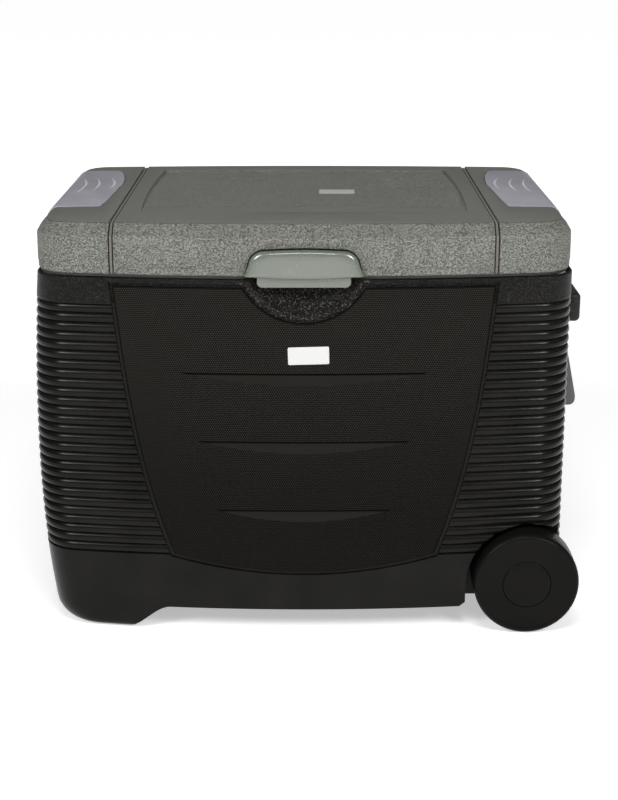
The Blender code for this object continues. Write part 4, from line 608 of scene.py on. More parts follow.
def grained_plastic(name, dark, light, roughness, cell, depth, **uniform):
    """Plastic with a leather grain, paler on its pebbles than in its creases: the creases are darkened as
    painted shade.
    """
    material, tree, shader, place = new_material(name, roughness, 0.0, uniform)
    grain = leather_grain(tree, place, cell)
    clouds = tree.noise(place, 0.06, 3.0)
    # painted shade in the creases: the grain darkens its furrows in the colour; the clouds are the plastic's
    # own uneven tone
    crease_shade_and_tone = grain * 0.55 + clouds * 0.45
    rubs = scuffs(tree, place, 0.0016, 0.34)
    shade = (crease_shade_and_tone + rubs * 0.5).at_most(1.0)
    rough = roughness + (clouds - 0.5) * 0.12
    connect(tree, shader, tree.blend(shade, dark, light), rough, grain, depth)
    return material


def etched_plastic(name, dark, light, roughness, size, depth, **uniform):
    """Satin plastic out of a finely etched mould, with a few rubs."""
    material, tree, shader, place = new_material(name, roughness, 0.0, uniform)
    grain = fine_grain(tree, place, size)
    clouds = tree.noise(place, 0.05, 3.0)
    shade = (clouds * 0.7 + grain * 0.2 + scuffs(tree, place, 0.0014, 0.32) * 0.8).at_most(1.0)
    rough = roughness + (clouds - 0.5) * 0.14
    connect(tree, shader, tree.blend(shade, dark, light), rough, grain, depth)
    return material


def radius_from(x, z, centre_x, centre_z):
    """Distance from a point, on X and Z."""
    across, up = x - centre_x, z - centre_z
    return (across * across + up * up).root()


def panel_masks(tree, place):
    """Where the panel is smooth: its crescents, a painted shadow under their top edges, its rounded rim."""
    x, _, z = tree.axes(place)
    x = x - HOME.x
    dents, shadows = None, None
    for top, half in CRESCENTS:
        radius = (half**2 + CRESCENT_DROP**2) / (2 * CRESCENT_DROP)
        reach = radius_from(x, z, 0.0, top - CRESCENT_DROP + radius)
        dent = (1 - reach.over(radius - 0.0004)) * (1 - z.over(top + 0.0004))
        # painted shadow: a dark band just under each crescent's straight top edge, where that edge's shade
        # falls
        shadow = dent * z.ramp(top - 0.0026, top - 0.0012)
        dents = dent if dents is None else dents.at_least(dent)
        shadows = shadow if shadows is None else shadows.at_least(shadow)
    down = (PANEL_TOP_Z - z) / (PANEL_TOP_Z - PANEL_BOTTOM_Z)
    half = PANEL_TOP_X - down * PANEL_SIDE_LINEAR - down * down * down * PANEL_SIDE_CUBIC
    margin = (half - x.math("ABSOLUTE", x)).at_most(PANEL_TOP_Z - z)
    margin = margin.at_most(radius_from(x, z, 0.0, SCOOP_CENTRE_Z) - SCOOP_RADIUS - SCOOP_RIM)
    return dents, shadows, 1 - margin.ramp(0.0014, 0.0024)


def dotted_plastic(name, dark, light, roughness, pitch, depth, **uniform):
    """Plastic covered in small domes, smooth in its dents and along its rim."""
    material, tree, shader, place = new_material(name, roughness, 0.0, uniform)
    dents, shadows, rim = panel_masks(tree, place)
    _, _, z = tree.axes(place)
    # the dots' paler colour is weaker towards the bottom of the panel
    paler_upwards = z.ramp(0.10, 0.35) * 0.55 + 0.45
    # painted highlight: the domes are coloured paler than the furrows between them
    dots = dot_weave(tree, place, pitch) * (1 - dents.at_least(rim))
    clouds = tree.noise(place, 0.05, 3.0)
    # painted light: the dents are coloured paler, as light on their upward-tilted floors; (1 - shadows) lays
    # in the painted shadow under their top edges
    shade = (dots * paler_upwards * 0.85 + clouds * 0.06 + dents * 0.34 + rim * 0.03).at_most(1.0) * (1 - shadows)
    rough = roughness + (clouds - 0.5) * 0.1 - dents * 0.06
    height = dots + fine_grain(tree, place, 0.0006) * 0.12
    connect(tree, shader, tree.blend(shade, dark, light), rough, height, depth)
    return material


def cabinet_plastic(name, dark, light, roughness, **uniform):
    """Smooth ribbed plastic that turns to leather grain on the band below the lid and in the scoop, with
    painted glints speckled over the grain.
    """
    material, tree, shader, place = new_material(name, roughness, 0.0, uniform)
    x, y, z = tree.axes(place)
    reach = radius_from(x, z, HOME.x, SCOOP_CENTRE_Z)
    scoop = (1 - reach.over(SCOOP_RADIUS + SCOOP_RIM + 0.001)) * (1 - y.over(-0.1))
    leathery = z.ramp(BAND_Z - 0.0004, BAND_Z + 0.0004).at_least(scoop)
    grain = leather_grain(tree, place, 0.0021)
    clouds = tree.noise(place, 0.05, 3.0)
    rubs = scuffs(tree, place, 0.0014, 0.32)
    # painted glints: sparse pale specks in the grained areas' colour, more in the scoop, standing in for
    # lamp reflections off the grain
    painted_glints = tree.noise(place, 0.0015, 1.0).ramp(0.54, 0.66) * leathery * (scoop * 0.70 + 0.24)
    shade = (clouds * 0.12 + rubs * 0.3 + painted_glints).at_most(1.0)
    rough = roughness + (clouds - 0.5) * 0.06 + leathery * 0.16
    height = grain * leathery + fine_grain(tree, place, 0.0010) * 0.05
    connect(tree, shader, tree.blend(shade, dark, light), rough, height, 0.00075)
    return material


def lid_plastic(name, dark, light, roughness, **uniform):
    """Leather-grained plastic, its creases darkened as painted shade, fine-grained and duller on the flat
    top, with a patchy painted highlight along its shoulder.
    """
    material, tree, shader, place = new_material(name, roughness, 0.0, uniform)
    x, _, z = tree.axes(place)
    across = (x - HOME.x) / LID_HALF
    level = z - (1 - across * across) * LID_CROWN
    flat = level.ramp(LID_TOP - 0.0012, LID_TOP - 0.0006)
    grain = leather_grain(tree, place, 0.0017)
    fine = fine_grain(tree, place, 0.0011)
    clouds = tree.noise(place, 0.06, 3.0)
    rubs = scuffs(tree, place, 0.0016, 0.34)
    # painted highlight: a thin pale line where the rounded shoulder catches the light, broken into patches
    # by the clouds
    rim = z - LID_SHOULDER
    edge = (1 - rim.math("ABSOLUTE", rim).ramp(0.0002, 0.0010)) * clouds.ramp(0.30, 0.62)
    # the grain term darkens the creases as painted shade; edge adds the painted highlight along the shoulder
    shade = grain * (1 - flat) * 0.70 + fine * flat * 0.46 + clouds * 0.18 + edge * 0.35 + rubs * 0.35
    rough = roughness + (clouds - 0.5) * 0.10
    height = grain * (1 - flat) + fine * flat * 0.18
    connect(tree, shader, tree.blend(shade.at_most(1.0), dark, light), rough, height, 0.0016)
    return material


def gloss_plastic(name, dark, light, roughness, **uniform):
    """Polished plastic with a slight ripple and hairline wear."""
    material, tree, shader, place = new_material(name, roughness, 0.0, uniform)
    clouds = tree.noise(place, 0.03, 3.0)
    wear = scuffs(tree, place, 0.0010, 0.30)
    rough = roughness + clouds * 0.10 + wear * 0.25
    colour = tree.blend((clouds + wear * 0.4).at_most(1.0), dark, light)
    connect(tree, shader, colour, rough, tree.noise(place, 0.006, 2.0), 0.00008)
    return material


def bare_metal(name, dark, light, roughness, metallic=1.0):
    """Sheet or drawn metal with fine rolling lines."""
    material, tree, shader, place = new_material(name, roughness, metallic, {})
    drawn = tree.noise(tree.stretch(place, (1.0, 1.0, 0.05)), 0.0006, 3.0)
    clouds = tree.noise(place, 0.02, 3.0)
    colour = tree.blend(drawn * 0.5 + clouds * 0.5, dark, light)
    connect(tree, shader, colour, roughness + (drawn - 0.5) * 0.2, drawn, 0.00003)
    return material


def blown_foam(name, dark, light):
    """Yellowish insulation foam with open bubbles."""
    material, tree, shader, place = new_material(name, 0.9, 0.0, {})
    inputs = {"Vector": place, "Scale": 450.0}
    bubbles = tree.add("ShaderNodeTexVoronoi", {"feature": "F1"}, inputs)
    colour = tree.blend(bubbles.ramp(0.0, 0.7), dark, light)
    connect(tree, shader, colour, None, bubbles, 0.0005)
    return material


def paper_label(name, dark, light):
    """Blank paper."""
    material, tree, shader, place = new_material(name, 0.45, 0.0, {})
    fibres = tree.noise(place, 0.0012, 4.0)
    connect(tree, shader, tree.blend(fibres, dark, light), None, fibres, 0.00003)
    return material


LID_GREY = lid_plastic(
    "lid_grey", (0.066, 0.067, 0.060), (0.225, 0.229, 0.203), 0.55, **{"Specular IOR Level": 0.16},
)
CABINET_BLACK = cabinet_plastic(
    "cabinet_black", (0.0010, 0.0009, 0.0007), (0.0800, 0.0760, 0.0690), 0.22,
    **{"Specular IOR Level": 0.11},
)
PLAIN_BLACK = etched_plastic(
    "plain_black", (0.0030, 0.0028, 0.0024), (0.0110, 0.0103, 0.0092), 0.36, 0.0009, 0.00006,
    **{"Specular IOR Level": 0.16},
)
BAND_BLACK = grained_plastic(
    "band_black", (0.0030, 0.0028, 0.0024), (0.0180, 0.0168, 0.0150), 0.36, 0.0019, 0.00050,
    **{"Specular IOR Level": 0.16},
)
PANEL_BLACK = dotted_plastic(
    "panel_black", (0.0005, 0.0004, 0.0003), (0.0310, 0.0280, 0.0235), 0.55, 0.0023, 0.00035,
    **{"Specular IOR Level": 0.05},
)
GRIP_BLACK = grained_plastic(
    "grip_black", (0.0040, 0.0037, 0.0032), (0.0240, 0.0224, 0.0200), 0.38, 0.0016, 0.0004,
    **{"Specular IOR Level": 0.20},
)
WHEEL_BLACK = etched_plastic(
    "wheel_black", (0.0030, 0.0029, 0.0026), (0.0085, 0.0080, 0.0072), 0.34, 0.0010, 0.00004,
    **{"Specular IOR Level": 0.06},
)
LATCH_GREY = gloss_plastic(
    "latch_grey", (0.102, 0.113, 0.094), (0.122, 0.136, 0.112), 0.22, **{"Coat Weight": 0.8},
)
FLAP_SMOKE = gloss_plastic(
    "flap_smoke", (0.200, 0.192, 0.225), (0.310, 0.298, 0.335), 0.46, **{"Coat Weight": 0.08},
)
# painted highlight: the flap crescents are coloured near white, standing in for the bright reflections along
# them
CRESCENT_HIGHLIGHT = gloss_plastic(
    "crescent_painted_highlight", (0.560, 0.550, 0.580), (0.780, 0.770, 0.800), 0.24, **{"Coat Weight": 0.5},
)
SEAM_GREY = etched_plastic(
    "seam_grey", (0.075, 0.068, 0.058), (0.150, 0.142, 0.125), 0.60, 0.0008, 0.00006,
)
COVER_GREY = etched_plastic(
    "cover_grey", (0.050, 0.056, 0.053), (0.085, 0.094, 0.090), 0.40, 0.0008, 0.00006,
)
KEY_GREY = etched_plastic(
    "key_grey", (0.220, 0.225, 0.220), (0.290, 0.295, 0.290), 0.40, 0.0006, 0.00003,
)
FRAME_BROWN = etched_plastic(
    "frame_brown", (0.011, 0.009, 0.007), (0.022, 0.019, 0.015), 0.60, 0.0009, 0.00006,
)
LINER_WHITE = etched_plastic(
    "liner_white", (0.440, 0.450, 0.440), (0.540, 0.545, 0.535), 0.38, 0.0014, 0.00003,
)
SOFT_RUBBER = etched_plastic(
    "soft_rubber", (0.012, 0.012, 0.012), (0.028, 0.028, 0.028), 0.75, 0.0006, 0.00010,
)
GLASS_BLACK = gloss_plastic("glass_black", (0.006, 0.007, 0.008), (0.012, 0.013, 0.015), 0.06)
STEEL = bare_metal("steel", (0.36, 0.36, 0.36), (0.60, 0.60, 0.60), 0.34)
ALUMINIUM = bare_metal("aluminium", (0.55, 0.56, 0.57), (0.78, 0.79, 0.80), 0.36)
COPPER = bare_metal("copper", (0.55, 0.24, 0.13), (0.80, 0.42, 0.26), 0.32)
PAINTED_STEEL = etched_plastic(
    "painted_steel", (0.014, 0.014, 0.015), (0.026, 0.026, 0.028), 0.32, 0.0008, 0.00008,
)
FOAM = blown_foam("foam", (0.50, 0.40, 0.20), (0.78, 0.68, 0.42))
LABEL = paper_label("blank_label", (0.46, 0.46, 0.45), (0.58, 0.58, 0.56))
BADGE = paper_label("blank_badge", (0.26, 0.27, 0.25), (0.44, 0.45, 0.42))


# --- outline of the cooler --------------------------------------------------------------------
def plan(left, right, front, back, bow, corner_front, corner_back, corners=14, run=56):
    """The outline seen from above, its first half along the front and its second along the back."""
    middle = (left + right) / 2
    half = middle - left - corner_front
    tilt = 2 * math.atan2(bow, half)
    bow_radius = corner_front + half / math.sin(tilt)
    bow_centre = front + corner_front + (bow_radius - corner_front) * math.cos(tilt)
    down = 1.5 * math.pi
    swing = math.pi / 2 - tilt
    points = circle(left + corner_front, front + corner_front, corner_front, corners + 1, math.pi, swing)
    for i in range(1, run):
        turn = down - tilt + 2 * tilt * i / run
        points.append((middle + bow_radius * math.cos(turn), bow_centre + bow_radius * math.sin(turn)))
    centre = (right - corner_front, front + corner_front)
    points += circle(*centre, corner_front, corners + 1, down + tilt, swing)
    start, end = right - corner_back, left + corner_back
    points += circle(start, back - corner_back, corner_back, corners + 1, 0.0, math.pi / 2)
    points += [(start + (end - start) * i / run, back) for i in range(1, run)]
    points += circle(end, back - corner_back, corner_back, corners + 1, math.pi / 2, math.pi / 2)
    return points


def corner_cut(radius, height):
    """How far a quarter round has drawn in at this height above its lowest point."""
    if height >= radius:
        return 0.0
    return radius - math.sqrt(max(radius**2 - (radius - height) ** 2, 0.0))


def body_left(z):
    """The left end wall: it swells at mid height and draws in towards the floor."""
    if z >= BULGE_Z:
        rise = (z - BULGE_Z) / (BODY_TOP - BULGE_Z)
        return -BODY_LEFT - LEFT_BULGE * (1 - rise**2)
    return -BODY_LEFT - LEFT_BULGE + LEFT_TUCK * ((BULGE_Z - z) / BULGE_Z) ** 2.2


def body_ring(z, inset, floor, **steps):
    """One level of the cabinet, drawn in by inset; floor is where its rounded lower edge starts."""
    edge = corner_cut(max(EDGE_ROUND - inset, 0.001), z - floor)
    foot = corner_cut(FOOT_CORNER - inset, z - floor)
    outline = plan(
        body_left(z) + inset + foot,
        BODY_RIGHT - inset - edge,
        -FRONT_CORNER + inset + edge,
        BACK - inset - edge,
        FRONT_BOW,
        CORNER_FRONT - inset - edge,
        CORNER_BACK - inset - edge,
        **steps,
    )
    return [(x, y, z) for x, y in outline]


def body_solid(inset, floor, levels, **steps):
    """The cabinet's shape as a solid through these levels, drawn in by inset."""
    return loft([body_ring(z, inset, floor, **steps) for z in levels], strip_caps=True)


def plain_levels(floor, top):
    """Levels enough for the cabinet's curved sides and its rounded lower edge."""
    return [floor + rise for rise in LOWER_RISES] + [*UPPER_LEVELS, top]


def front_y(x):
    """The front wall's place at x, on the cabinet's bowed face."""
    half = BODY_RIGHT - CORNER_FRONT
    tilt = 2 * math.atan2(FRONT_BOW, half)
    radius = CORNER_FRONT + half / math.sin(tilt)
    centre = -FRONT_CORNER + CORNER_FRONT + (radius - CORNER_FRONT) * math.cos(tilt)
    return centre - math.sqrt(radius**2 - x**2)


# --- ribs -------------------------------------------------------------------------------------
def group_input(tree, name, kind, default):
    """Adds a named input to a geometry tree and gives its socket's identifier."""
    socket = tree.nodes.interface.new_socket(name, in_out="INPUT", socket_type=kind)
    if default is not None:
        socket.default_value = default
    return socket.identifier


def rib_tree():
    """Presses rounded ribs into a wall: between their crests the surface draws in along its normal."""
    tree = Tree(bpy.data.node_groups.new("pressed ribs", "GeometryNodeTree"))
    face = tree.nodes.interface
    face.new_socket("Geometry", in_out="INPUT", socket_type="NodeSocketGeometry")
    face.new_socket("Geometry", in_out="OUTPUT", socket_type="NodeSocketGeometry")
    names = {
        "Pitch": group_input(tree, "Pitch", "NodeSocketFloat", RIB_PITCH),
        "Depth": group_input(tree, "Depth", "NodeSocketFloat", RIB_DEPTH),
        "Lowest": group_input(tree, "Lowest", "NodeSocketFloat", RIB_LOWEST),
        "Count": group_input(tree, "Count", "NodeSocketFloat", float(RIB_COUNT)),
        "Free": group_input(tree, "Free", "NodeSocketFloat", RIB_FREE),
        "Material": group_input(tree, "Material", "NodeSocketMaterial", None),
    }
    entry = tree.nodes.nodes.new("NodeGroupInput")
    given = {socket.name: Wire(tree, socket) for socket in entry.outputs if socket.name}
    x, y, z = tree.axes(tree.add("GeometryNodeInputPosition"))
    behind_panel = (1 - x.math("ABSOLUTE", x).over(given["Free"])) * (1 - y.over(0.0))
    turn = (z - given["Lowest"]) / given["Pitch"] + 0.5
    inside = turn.over(0.0) * (1 - turn.over(given["Count"])) * (1 - behind_panel)
    offset = turn.fraction() * 2 - 1
    rise = (1 - offset * offset).at_least(0.0) ** 0.72
    sink = (1 - rise) * given["Depth"] * inside
    normal = tree.add("GeometryNodeInputNormal")
    flat = tree.stretch(normal, (1.0, 1.0, 0.0))
    unit = tree.add("ShaderNodeVectorMath", {"operation": "NORMALIZE"}, {0: flat})
    push = tree.add("ShaderNodeVectorMath", {"operation": "SCALE"}, {0: unit, "Scale": 0 - sink})
    moved = tree.add("GeometryNodeSetPosition", {}, {"Geometry": given["Geometry"], "Offset": push})
    real = tree.add("GeometryNodeRealizeInstances", {}, {"Geometry": moved})
    dressed = tree.add("GeometryNodeSetMaterial", {}, {"Geometry": real, "Material": given["Material"]})
    leave = tree.nodes.nodes.new("NodeGroupOutput")
    tree.nodes.links.new(dressed.socket, leave.inputs[0])
    return tree.nodes, names


def ribbed(mesh, material):
    """The mesh after the ribs have been pressed into it."""
    group, names = rib_tree()
    obj = temporary(mesh)
    step = obj.modifiers.new("ribs", "NODES")
    step.node_group = group
    step[names["Material"]] = material
    return evaluated(obj)


def rib_levels():
    """Levels that follow each rib's round, closest together in the furrows."""
    levels = []
    for i in range(RIB_COUNT):
        middle = RIB_LOWEST + RIB_PITCH * i
        for step in range(RIB_STEPS):
            levels.append(middle - RIB_PITCH / 2 * math.cos(math.pi * step / RIB_STEPS))
    top = RIB_LOWEST + RIB_PITCH * (RIB_COUNT - 0.5)
    levels[0] -= 0.0001
    return levels + [top + 0.0001]


# --- cutters of the cabinet -------------------------------------------------------------------
def belly_profile(rise, steps=20):
    """The space under the cabinet: an S-shaped run from the foot's sole to the belly."""
    points = [(FOOT_INNER_X - rise, -EPS)]
    for i in range(steps + 1):
        share = i / steps
        ease = share * share * (3 - 2 * share)
        points.append((FOOT_INNER_X - rise + FOOT_RISE * share, (BELLY_Z + rise) * ease))
    points[1] = (FOOT_INNER_X - rise, 0.0)
    return points + [(BODY_RIGHT + EPS, BELLY_Z + rise), (BODY_RIGHT + EPS, -EPS)]


def well_outline(grow):
    """A wheel well in X and Z: an arch over upright sides, with a slanted corner at the underside."""
    radius = WHEEL_R + WELL_WIDE + grow
    left, right = WHEEL_X - radius, WHEEL_X + radius
    corner = BELLY_Z + WELL_CHAMFER[1] + grow
    outer = left - WELL_CHAMFER[0]
    arch = circle(WHEEL_X, WHEEL_R - WELL_DROP, radius, 72, 0.0, math.pi)
    return arch + [(left, corner), (outer, corner - WELL_CHAMFER[1]), (outer, -EPS), (right, -EPS)]


def well_meshes(grow):
    front_wall = -WHEEL_FRONT_FACE + WHEEL_WIDTH + WELL_GAP + grow
    back_wall = WHEEL_BACK_FACE - WHEEL_WIDTH - WELL_GAP - grow
    outline = well_outline(grow)
    return [prism(outline, "y", -BACK - 2 * EPS, front_wall), prism(outline, "y", back_wall, BACK + EPS)]


def scoop_mesh(grow):
    """The finger scoop under the latch: a flattened bowl in the front wall with a flared lip."""
    profile = [(-EPS, 0.0048), (0.0, 0.0034), (0.0007, 0.0022), (0.0016, 0.0012), (0.0028, 0.0005)]
    rings = [(depth, SCOOP_RADIUS + grow + flare) for depth, flare in profile]
    deep = SCOOP_DEPTH + grow
    for i in range(1, 26):
        turn = math.pi / 2 * (0.11 + 0.888 * i / 25)
        rings.append((deep * math.sin(turn), (SCOOP_RADIUS + grow) * math.cos(turn)))
    face = -FRONT_CORNER - FRONT_BOW
    return loft([[(x, face + d, z) for x, z in circle(0.0, SCOOP_CENTRE_Z, r, 120)] for d, r in rings])


def bay_mesh(grow, top):
    y = (-BAY_HALF - grow, BAY_HALF + grow)
    return box((BAY_X - grow, BODY_RIGHT + EPS), y, (BAY_LOW - grow, top))


def finger_mesh(grow):
    half = FINGER_HALF + grow
    outline = rounded((-half, half), (FINGER_Z[0] - grow, FINGER_Z[1] + grow), FINGER_CORNER + grow)
    return prism(outline, "x", BAY_X - FINGER_DEPTH - grow, BODY_RIGHT + EPS)


def hand_hold(grow, depth):
    half = HOLD_HALF + grow
    outline = rounded((-half, half), (HOLD_Z[0] - grow, HOLD_Z[1] + grow), HOLD_CORNER + grow)
    return prism(outline, "x", -BODY_LEFT - LEFT_BULGE - EPS, -BODY_LEFT - LEFT_BULGE + depth)


def panel_half(z):
    """Half the front panel's width at this height."""
    down = (PANEL_TOP_Z - z) / (PANEL_TOP_Z - PANEL_BOTTOM_Z)
    return PANEL_TOP_X - PANEL_SIDE_LINEAR * down - PANEL_SIDE_CUBIC * down**3


def panel_outline(grow, steps=28):
    """The front panel in X and Z, grown by the width of its seam."""
    height = PANEL_TOP_Z - PANEL_BOTTOM_Z
    right = []
    for i in range(steps + 1):
        z = PANEL_TOP_Z - height * i / steps
        right.append((panel_half(z) + grow, z + grow * (1 - 2 * i / steps)))
    corner_x, corner_z = right[-1]
    bottom = []
    for i in range(1, 40):
        share = 1 - 2 * i / 40
        bottom.append((corner_x * share, corner_z - PANEL_ARC_DROP * (1 - share * share)))
    left = [(-x, z) for x, z in reversed(right)]
    bite = SCOOP_RADIUS + SCOOP_RIM - grow
    reach = math.asin((SCOOP_CENTRE_Z - PANEL_TOP_Z - grow) / bite)
    arc = circle(0.0, SCOOP_CENTRE_Z, bite, 40, math.pi + reach, math.pi - 2 * reach)
    return right + bottom + left + arc


def make_shell():
    """The cabinet's ribbed outer shell, hollow, with its wells, scoop, bays and openings."""
    ribs = rib_levels()
    lower = [z for z in plain_levels(FOOT_BOTTOM, BODY_TOP) if z < ribs[0] - 0.001]
    rings = [body_ring(z, 0.0, FOOT_BOTTOM) for z in lower + ribs + [ribs[-1] + 0.004]]
    for i in range(7):
        turn = math.pi / 2 * i / 6
        inset = TOP_ROUND * (1 - math.cos(turn))
        rings.append(body_ring(BODY_TOP - TOP_ROUND * (1 - math.sin(turn)), inset, FOOT_BOTTOM))
    outer = loft(rings, strip_caps=True)
    outer = ribbed(outer, CABINET_BLACK)

    coarse = {"corners": 8, "run": 20}
    floor = FOOT_BOTTOM + WALL
    room = body_solid(WALL, floor, plain_levels(floor, BODY_TOP + EPS), **coarse)
    keepers = [
        prism(belly_profile(WALL), "y", -BACK - 2 * EPS, BACK + EPS),
        scoop_mesh(WALL),
        bay_mesh(WALL, BODY_TOP + 2 * EPS),
        finger_mesh(WALL),
        *well_meshes(WALL),
    ]
    room = cut(room, keepers)
    skin = PANEL_THICK + GAP
    recess = prism(panel_outline(PANEL_SEAM), "y", -BACK - 2 * EPS, RECESS_BACK_Y)
    behind = FOOT_BOTTOM + skin
    recess = cut(recess, [body_solid(skin, behind, plain_levels(behind, BODY_TOP + EPS))])
    grille_x = (GRILLE_X[0] + GRILLE_RIM, GRILLE_X[1] - GRILLE_RIM)
    grille_z = (GRILLE_Z[0] + GRILLE_RIM, GRILLE_Z[1] - GRILLE_RIM)
    intake_y = (-INTAKE_HALF + INTAKE_RIM, INTAKE_HALF - INTAKE_RIM)
    intake_z = (INTAKE_Z[0] + INTAKE_RIM, INTAKE_Z[1] - INTAKE_RIM)
    openings = [
        box(grille_x, (BACK - 0.02, BACK + EPS), grille_z),
        box((BAY_X - 0.012, BODY_RIGHT + EPS), intake_y, intake_z),
        box((BAY_X - 0.006, BODY_RIGHT + EPS), (-SOCKET_HALF, SOCKET_HALF), SOCKET_Z),
        prism(circle(WHEEL_X, WHEEL_R, AXLE_BORE, 24), "y", -BACK + 0.01, BACK - 0.01),
    ]
    tools = [
        prism(belly_profile(0.0), "y", -BACK - 2 * EPS, BACK + EPS),
        scoop_mesh(0.0),
        bay_mesh(0.0, BODY_TOP + EPS),
        finger_mesh(0.0),
        hand_hold(GAP, HOLD_DEPTH),
        *well_meshes(0.0),
        room,
        recess,
        *openings,
    ]
    shell = cut(outer, tools)
    ears = []
    near, far = COVER_HALF + RUN, ARM_INNER_Y - GUIDE_WALL - RUN - GAP
    for y in ((-far, -near), (near, far)):
        x, z = (-COVER_BARREL_R - EAR_TAIL, COVER_BARREL_R), (-COVER_BARREL_R, COVER_BARREL_R)
        outline = rounded(x, z, EAR_CORNER, 6)
        outline = [(COVER_AXIS[0] + x, COVER_AXIS[1] + z) for x, z in outline]
        ears.append(prism(outline, "y", *y))
    shell = joined([shell, *ears])
    return piece("ribbed_shell", shell, CABINET_BLACK, "cabinet", ["outer_shell"], 38)


# --- front panel ------------------------------------------------------------------------------
def dent_cutter(top, half):
    """A slab whose inner face is a dent: deep under its straight top edge, fading out to its arc."""
    radius = (half**2 + CRESCENT_DROP**2) / (2 * CRESCENT_DROP)
    rows, columns = 10, 60
    near, far = [], []
    for i in range(columns + 1):
        x = 0.998 * half * (2 * i / columns - 1)
        low = top - CRESCENT_DROP + radius - math.sqrt(radius**2 - x**2)
        tall = min((top - low) / CRESCENT_DROP * 1.5, 1.0)
        zs = [low + (top - low) * j / rows for j in range(rows + 1)]
        near.append([(x, front_y(x) - 0.01, z) for z in zs])
        sunk = [CRESCENT_DEPTH * tall * (j / rows) ** 0.8 - 0.00003 for j in range(rows + 1)]
        far.append([(x, front_y(x) + depth, z) for z, depth in zip(zs, sunk)])
    return slab(near, far)


def panel_columns():
    """Shares of the half width: close together at the panel's rims."""
    rim = [1.0, 0.9990, 0.9974, 0.9950, 0.9910, 0.9850]
    inner = [i / 44 for i in range(-43, 44)]
    return sorted([-share for share in rim] + inner + rim)


def panel_rows():
    """Shares of the height: close together at the rims."""
    rim = [0.0, 0.0010, 0.0026, 0.0050, 0.0090, 0.0150]
    return sorted([1 - share for share in rim] + [i / 60 for i in range(2, 59)] + rim)


def panel_bottom(x):
    share = x / panel_half(PANEL_BOTTOM_Z)
    return PANEL_BOTTOM_Z - PANEL_ARC_DROP * (1 - share * share)


def panel_top(x):
    bite = SCOOP_RADIUS + SCOOP_RIM
    if abs(x) >= bite:
        return PANEL_TOP_Z
    return min(PANEL_TOP_Z, SCOOP_CENTRE_Z - math.sqrt(bite**2 - x**2))


def rim_drop(distance, radius=0.0016):
    """How far a rounded rim falls away at this distance from its edge."""
    if distance >= radius:
        return 0.0
    return radius - math.sqrt(radius**2 - (radius - distance) ** 2)


def make_front_panel():
    """The textured insert with its three scooped dents and eased rims."""
    height = PANEL_TOP_Z - PANEL_BOTTOM_Z
    front, back = [], []
    for row in panel_rows():
        half = panel_half(PANEL_BOTTOM_Z + height * row)
        lines = ([], [])
        for column in panel_columns():
            x = half * column
            low = panel_bottom(column * panel_half(PANEL_BOTTOM_Z))
            high = panel_top(column * PANEL_TOP_X)
            blend_low = max(0.0, 1 - row / 0.22) ** 2
            blend_high = max(0.0, 1 - (1 - row) / 0.30) ** 1.5
            z = PANEL_BOTTOM_Z + height * row
            z += (low - PANEL_BOTTOM_Z) * blend_low + (high - PANEL_TOP_Z) * blend_high
            rim = min((1 - abs(column)) * half, row * height, (1 - row) * height)
            lines[0].append((x, front_y(x) + rim_drop(rim), z))
            lines[1].append((x, front_y(x) + PANEL_THICK, z))
        front.append(lines[0])
        back.append(lines[1])
    mesh = cut(slab(front, back), [dent_cutter(top, half) for top, half in CRESCENTS])
    return piece("dotted_panel", mesh, PANEL_BLACK, "cabinet", ["front_panel"], 40)


def make_label():
    """A blank label on the front panel."""
    low, high = LABEL_Z
    outline = rounded((LABEL_X - LABEL_HALF, LABEL_X + LABEL_HALF), (low, high), LABEL_CORNER, 5)
    rings = []
    for lift in (-LABEL_LIFT, LABEL_LIFT):
        rings.append([(x, front_y(x) - lift, z) for x, z in outline])
    mesh = loft(rings)
    centre = Vector((LABEL_X, 0.0, (low + high) / 2))
    turn = Matrix.Rotation(math.radians(LABEL_TURN), 4, "Y")
    mesh.transform(Matrix.Translation(centre) @ turn @ Matrix.Translation(-centre))
    return piece("blank_label", mesh, LABEL, "cabinet")


# --- lid --------------------------------------------------------------------------------------
def lid_ring(z, inset, front, end, **steps):
    outline = plan(
        -LID_HALF + inset + end,
        LID_HALF - inset - end,
        -FRONT_CORNER + LID_INSET + inset + front,
        BACK - LID_INSET - inset - end,
        FRONT_BOW,
        CORNER_FRONT - inset - end,
        CORNER_BACK - inset - end,
        **steps,
    )
    return [(x, y, z) for x, y in outline]


def lid_solid(inset, bottom=LID_BOTTOM, **steps):
    """The lid's outer shape, drawn in by inset, with its eased shoulder and crowned top."""
    rings = []
    if bottom < LID_BOTTOM:
        rings.append(lid_ring(bottom, inset, 0.0, 0.0, **steps))
    for z, front, end in LID_PROFILE:
        if bottom < LID_BOTTOM and z < LID_BOTTOM + 0.002:
            continue
        share = max(z - LID_SHOULDER, 0.0) / (LID_TOP - LID_SHOULDER)
        ring = lid_ring(z - inset * min(share * 1.5, 1.0), inset, front, end, **steps)
        rings.append([(x, y, h + share * LID_CROWN * (1 - (x / LID_HALF) ** 2)) for x, y, h in ring])
    return loft(rings, strip_caps=True)


def top_z(x):
    return LID_TOP + LID_CROWN * (1 - (x / LID_HALF) ** 2)


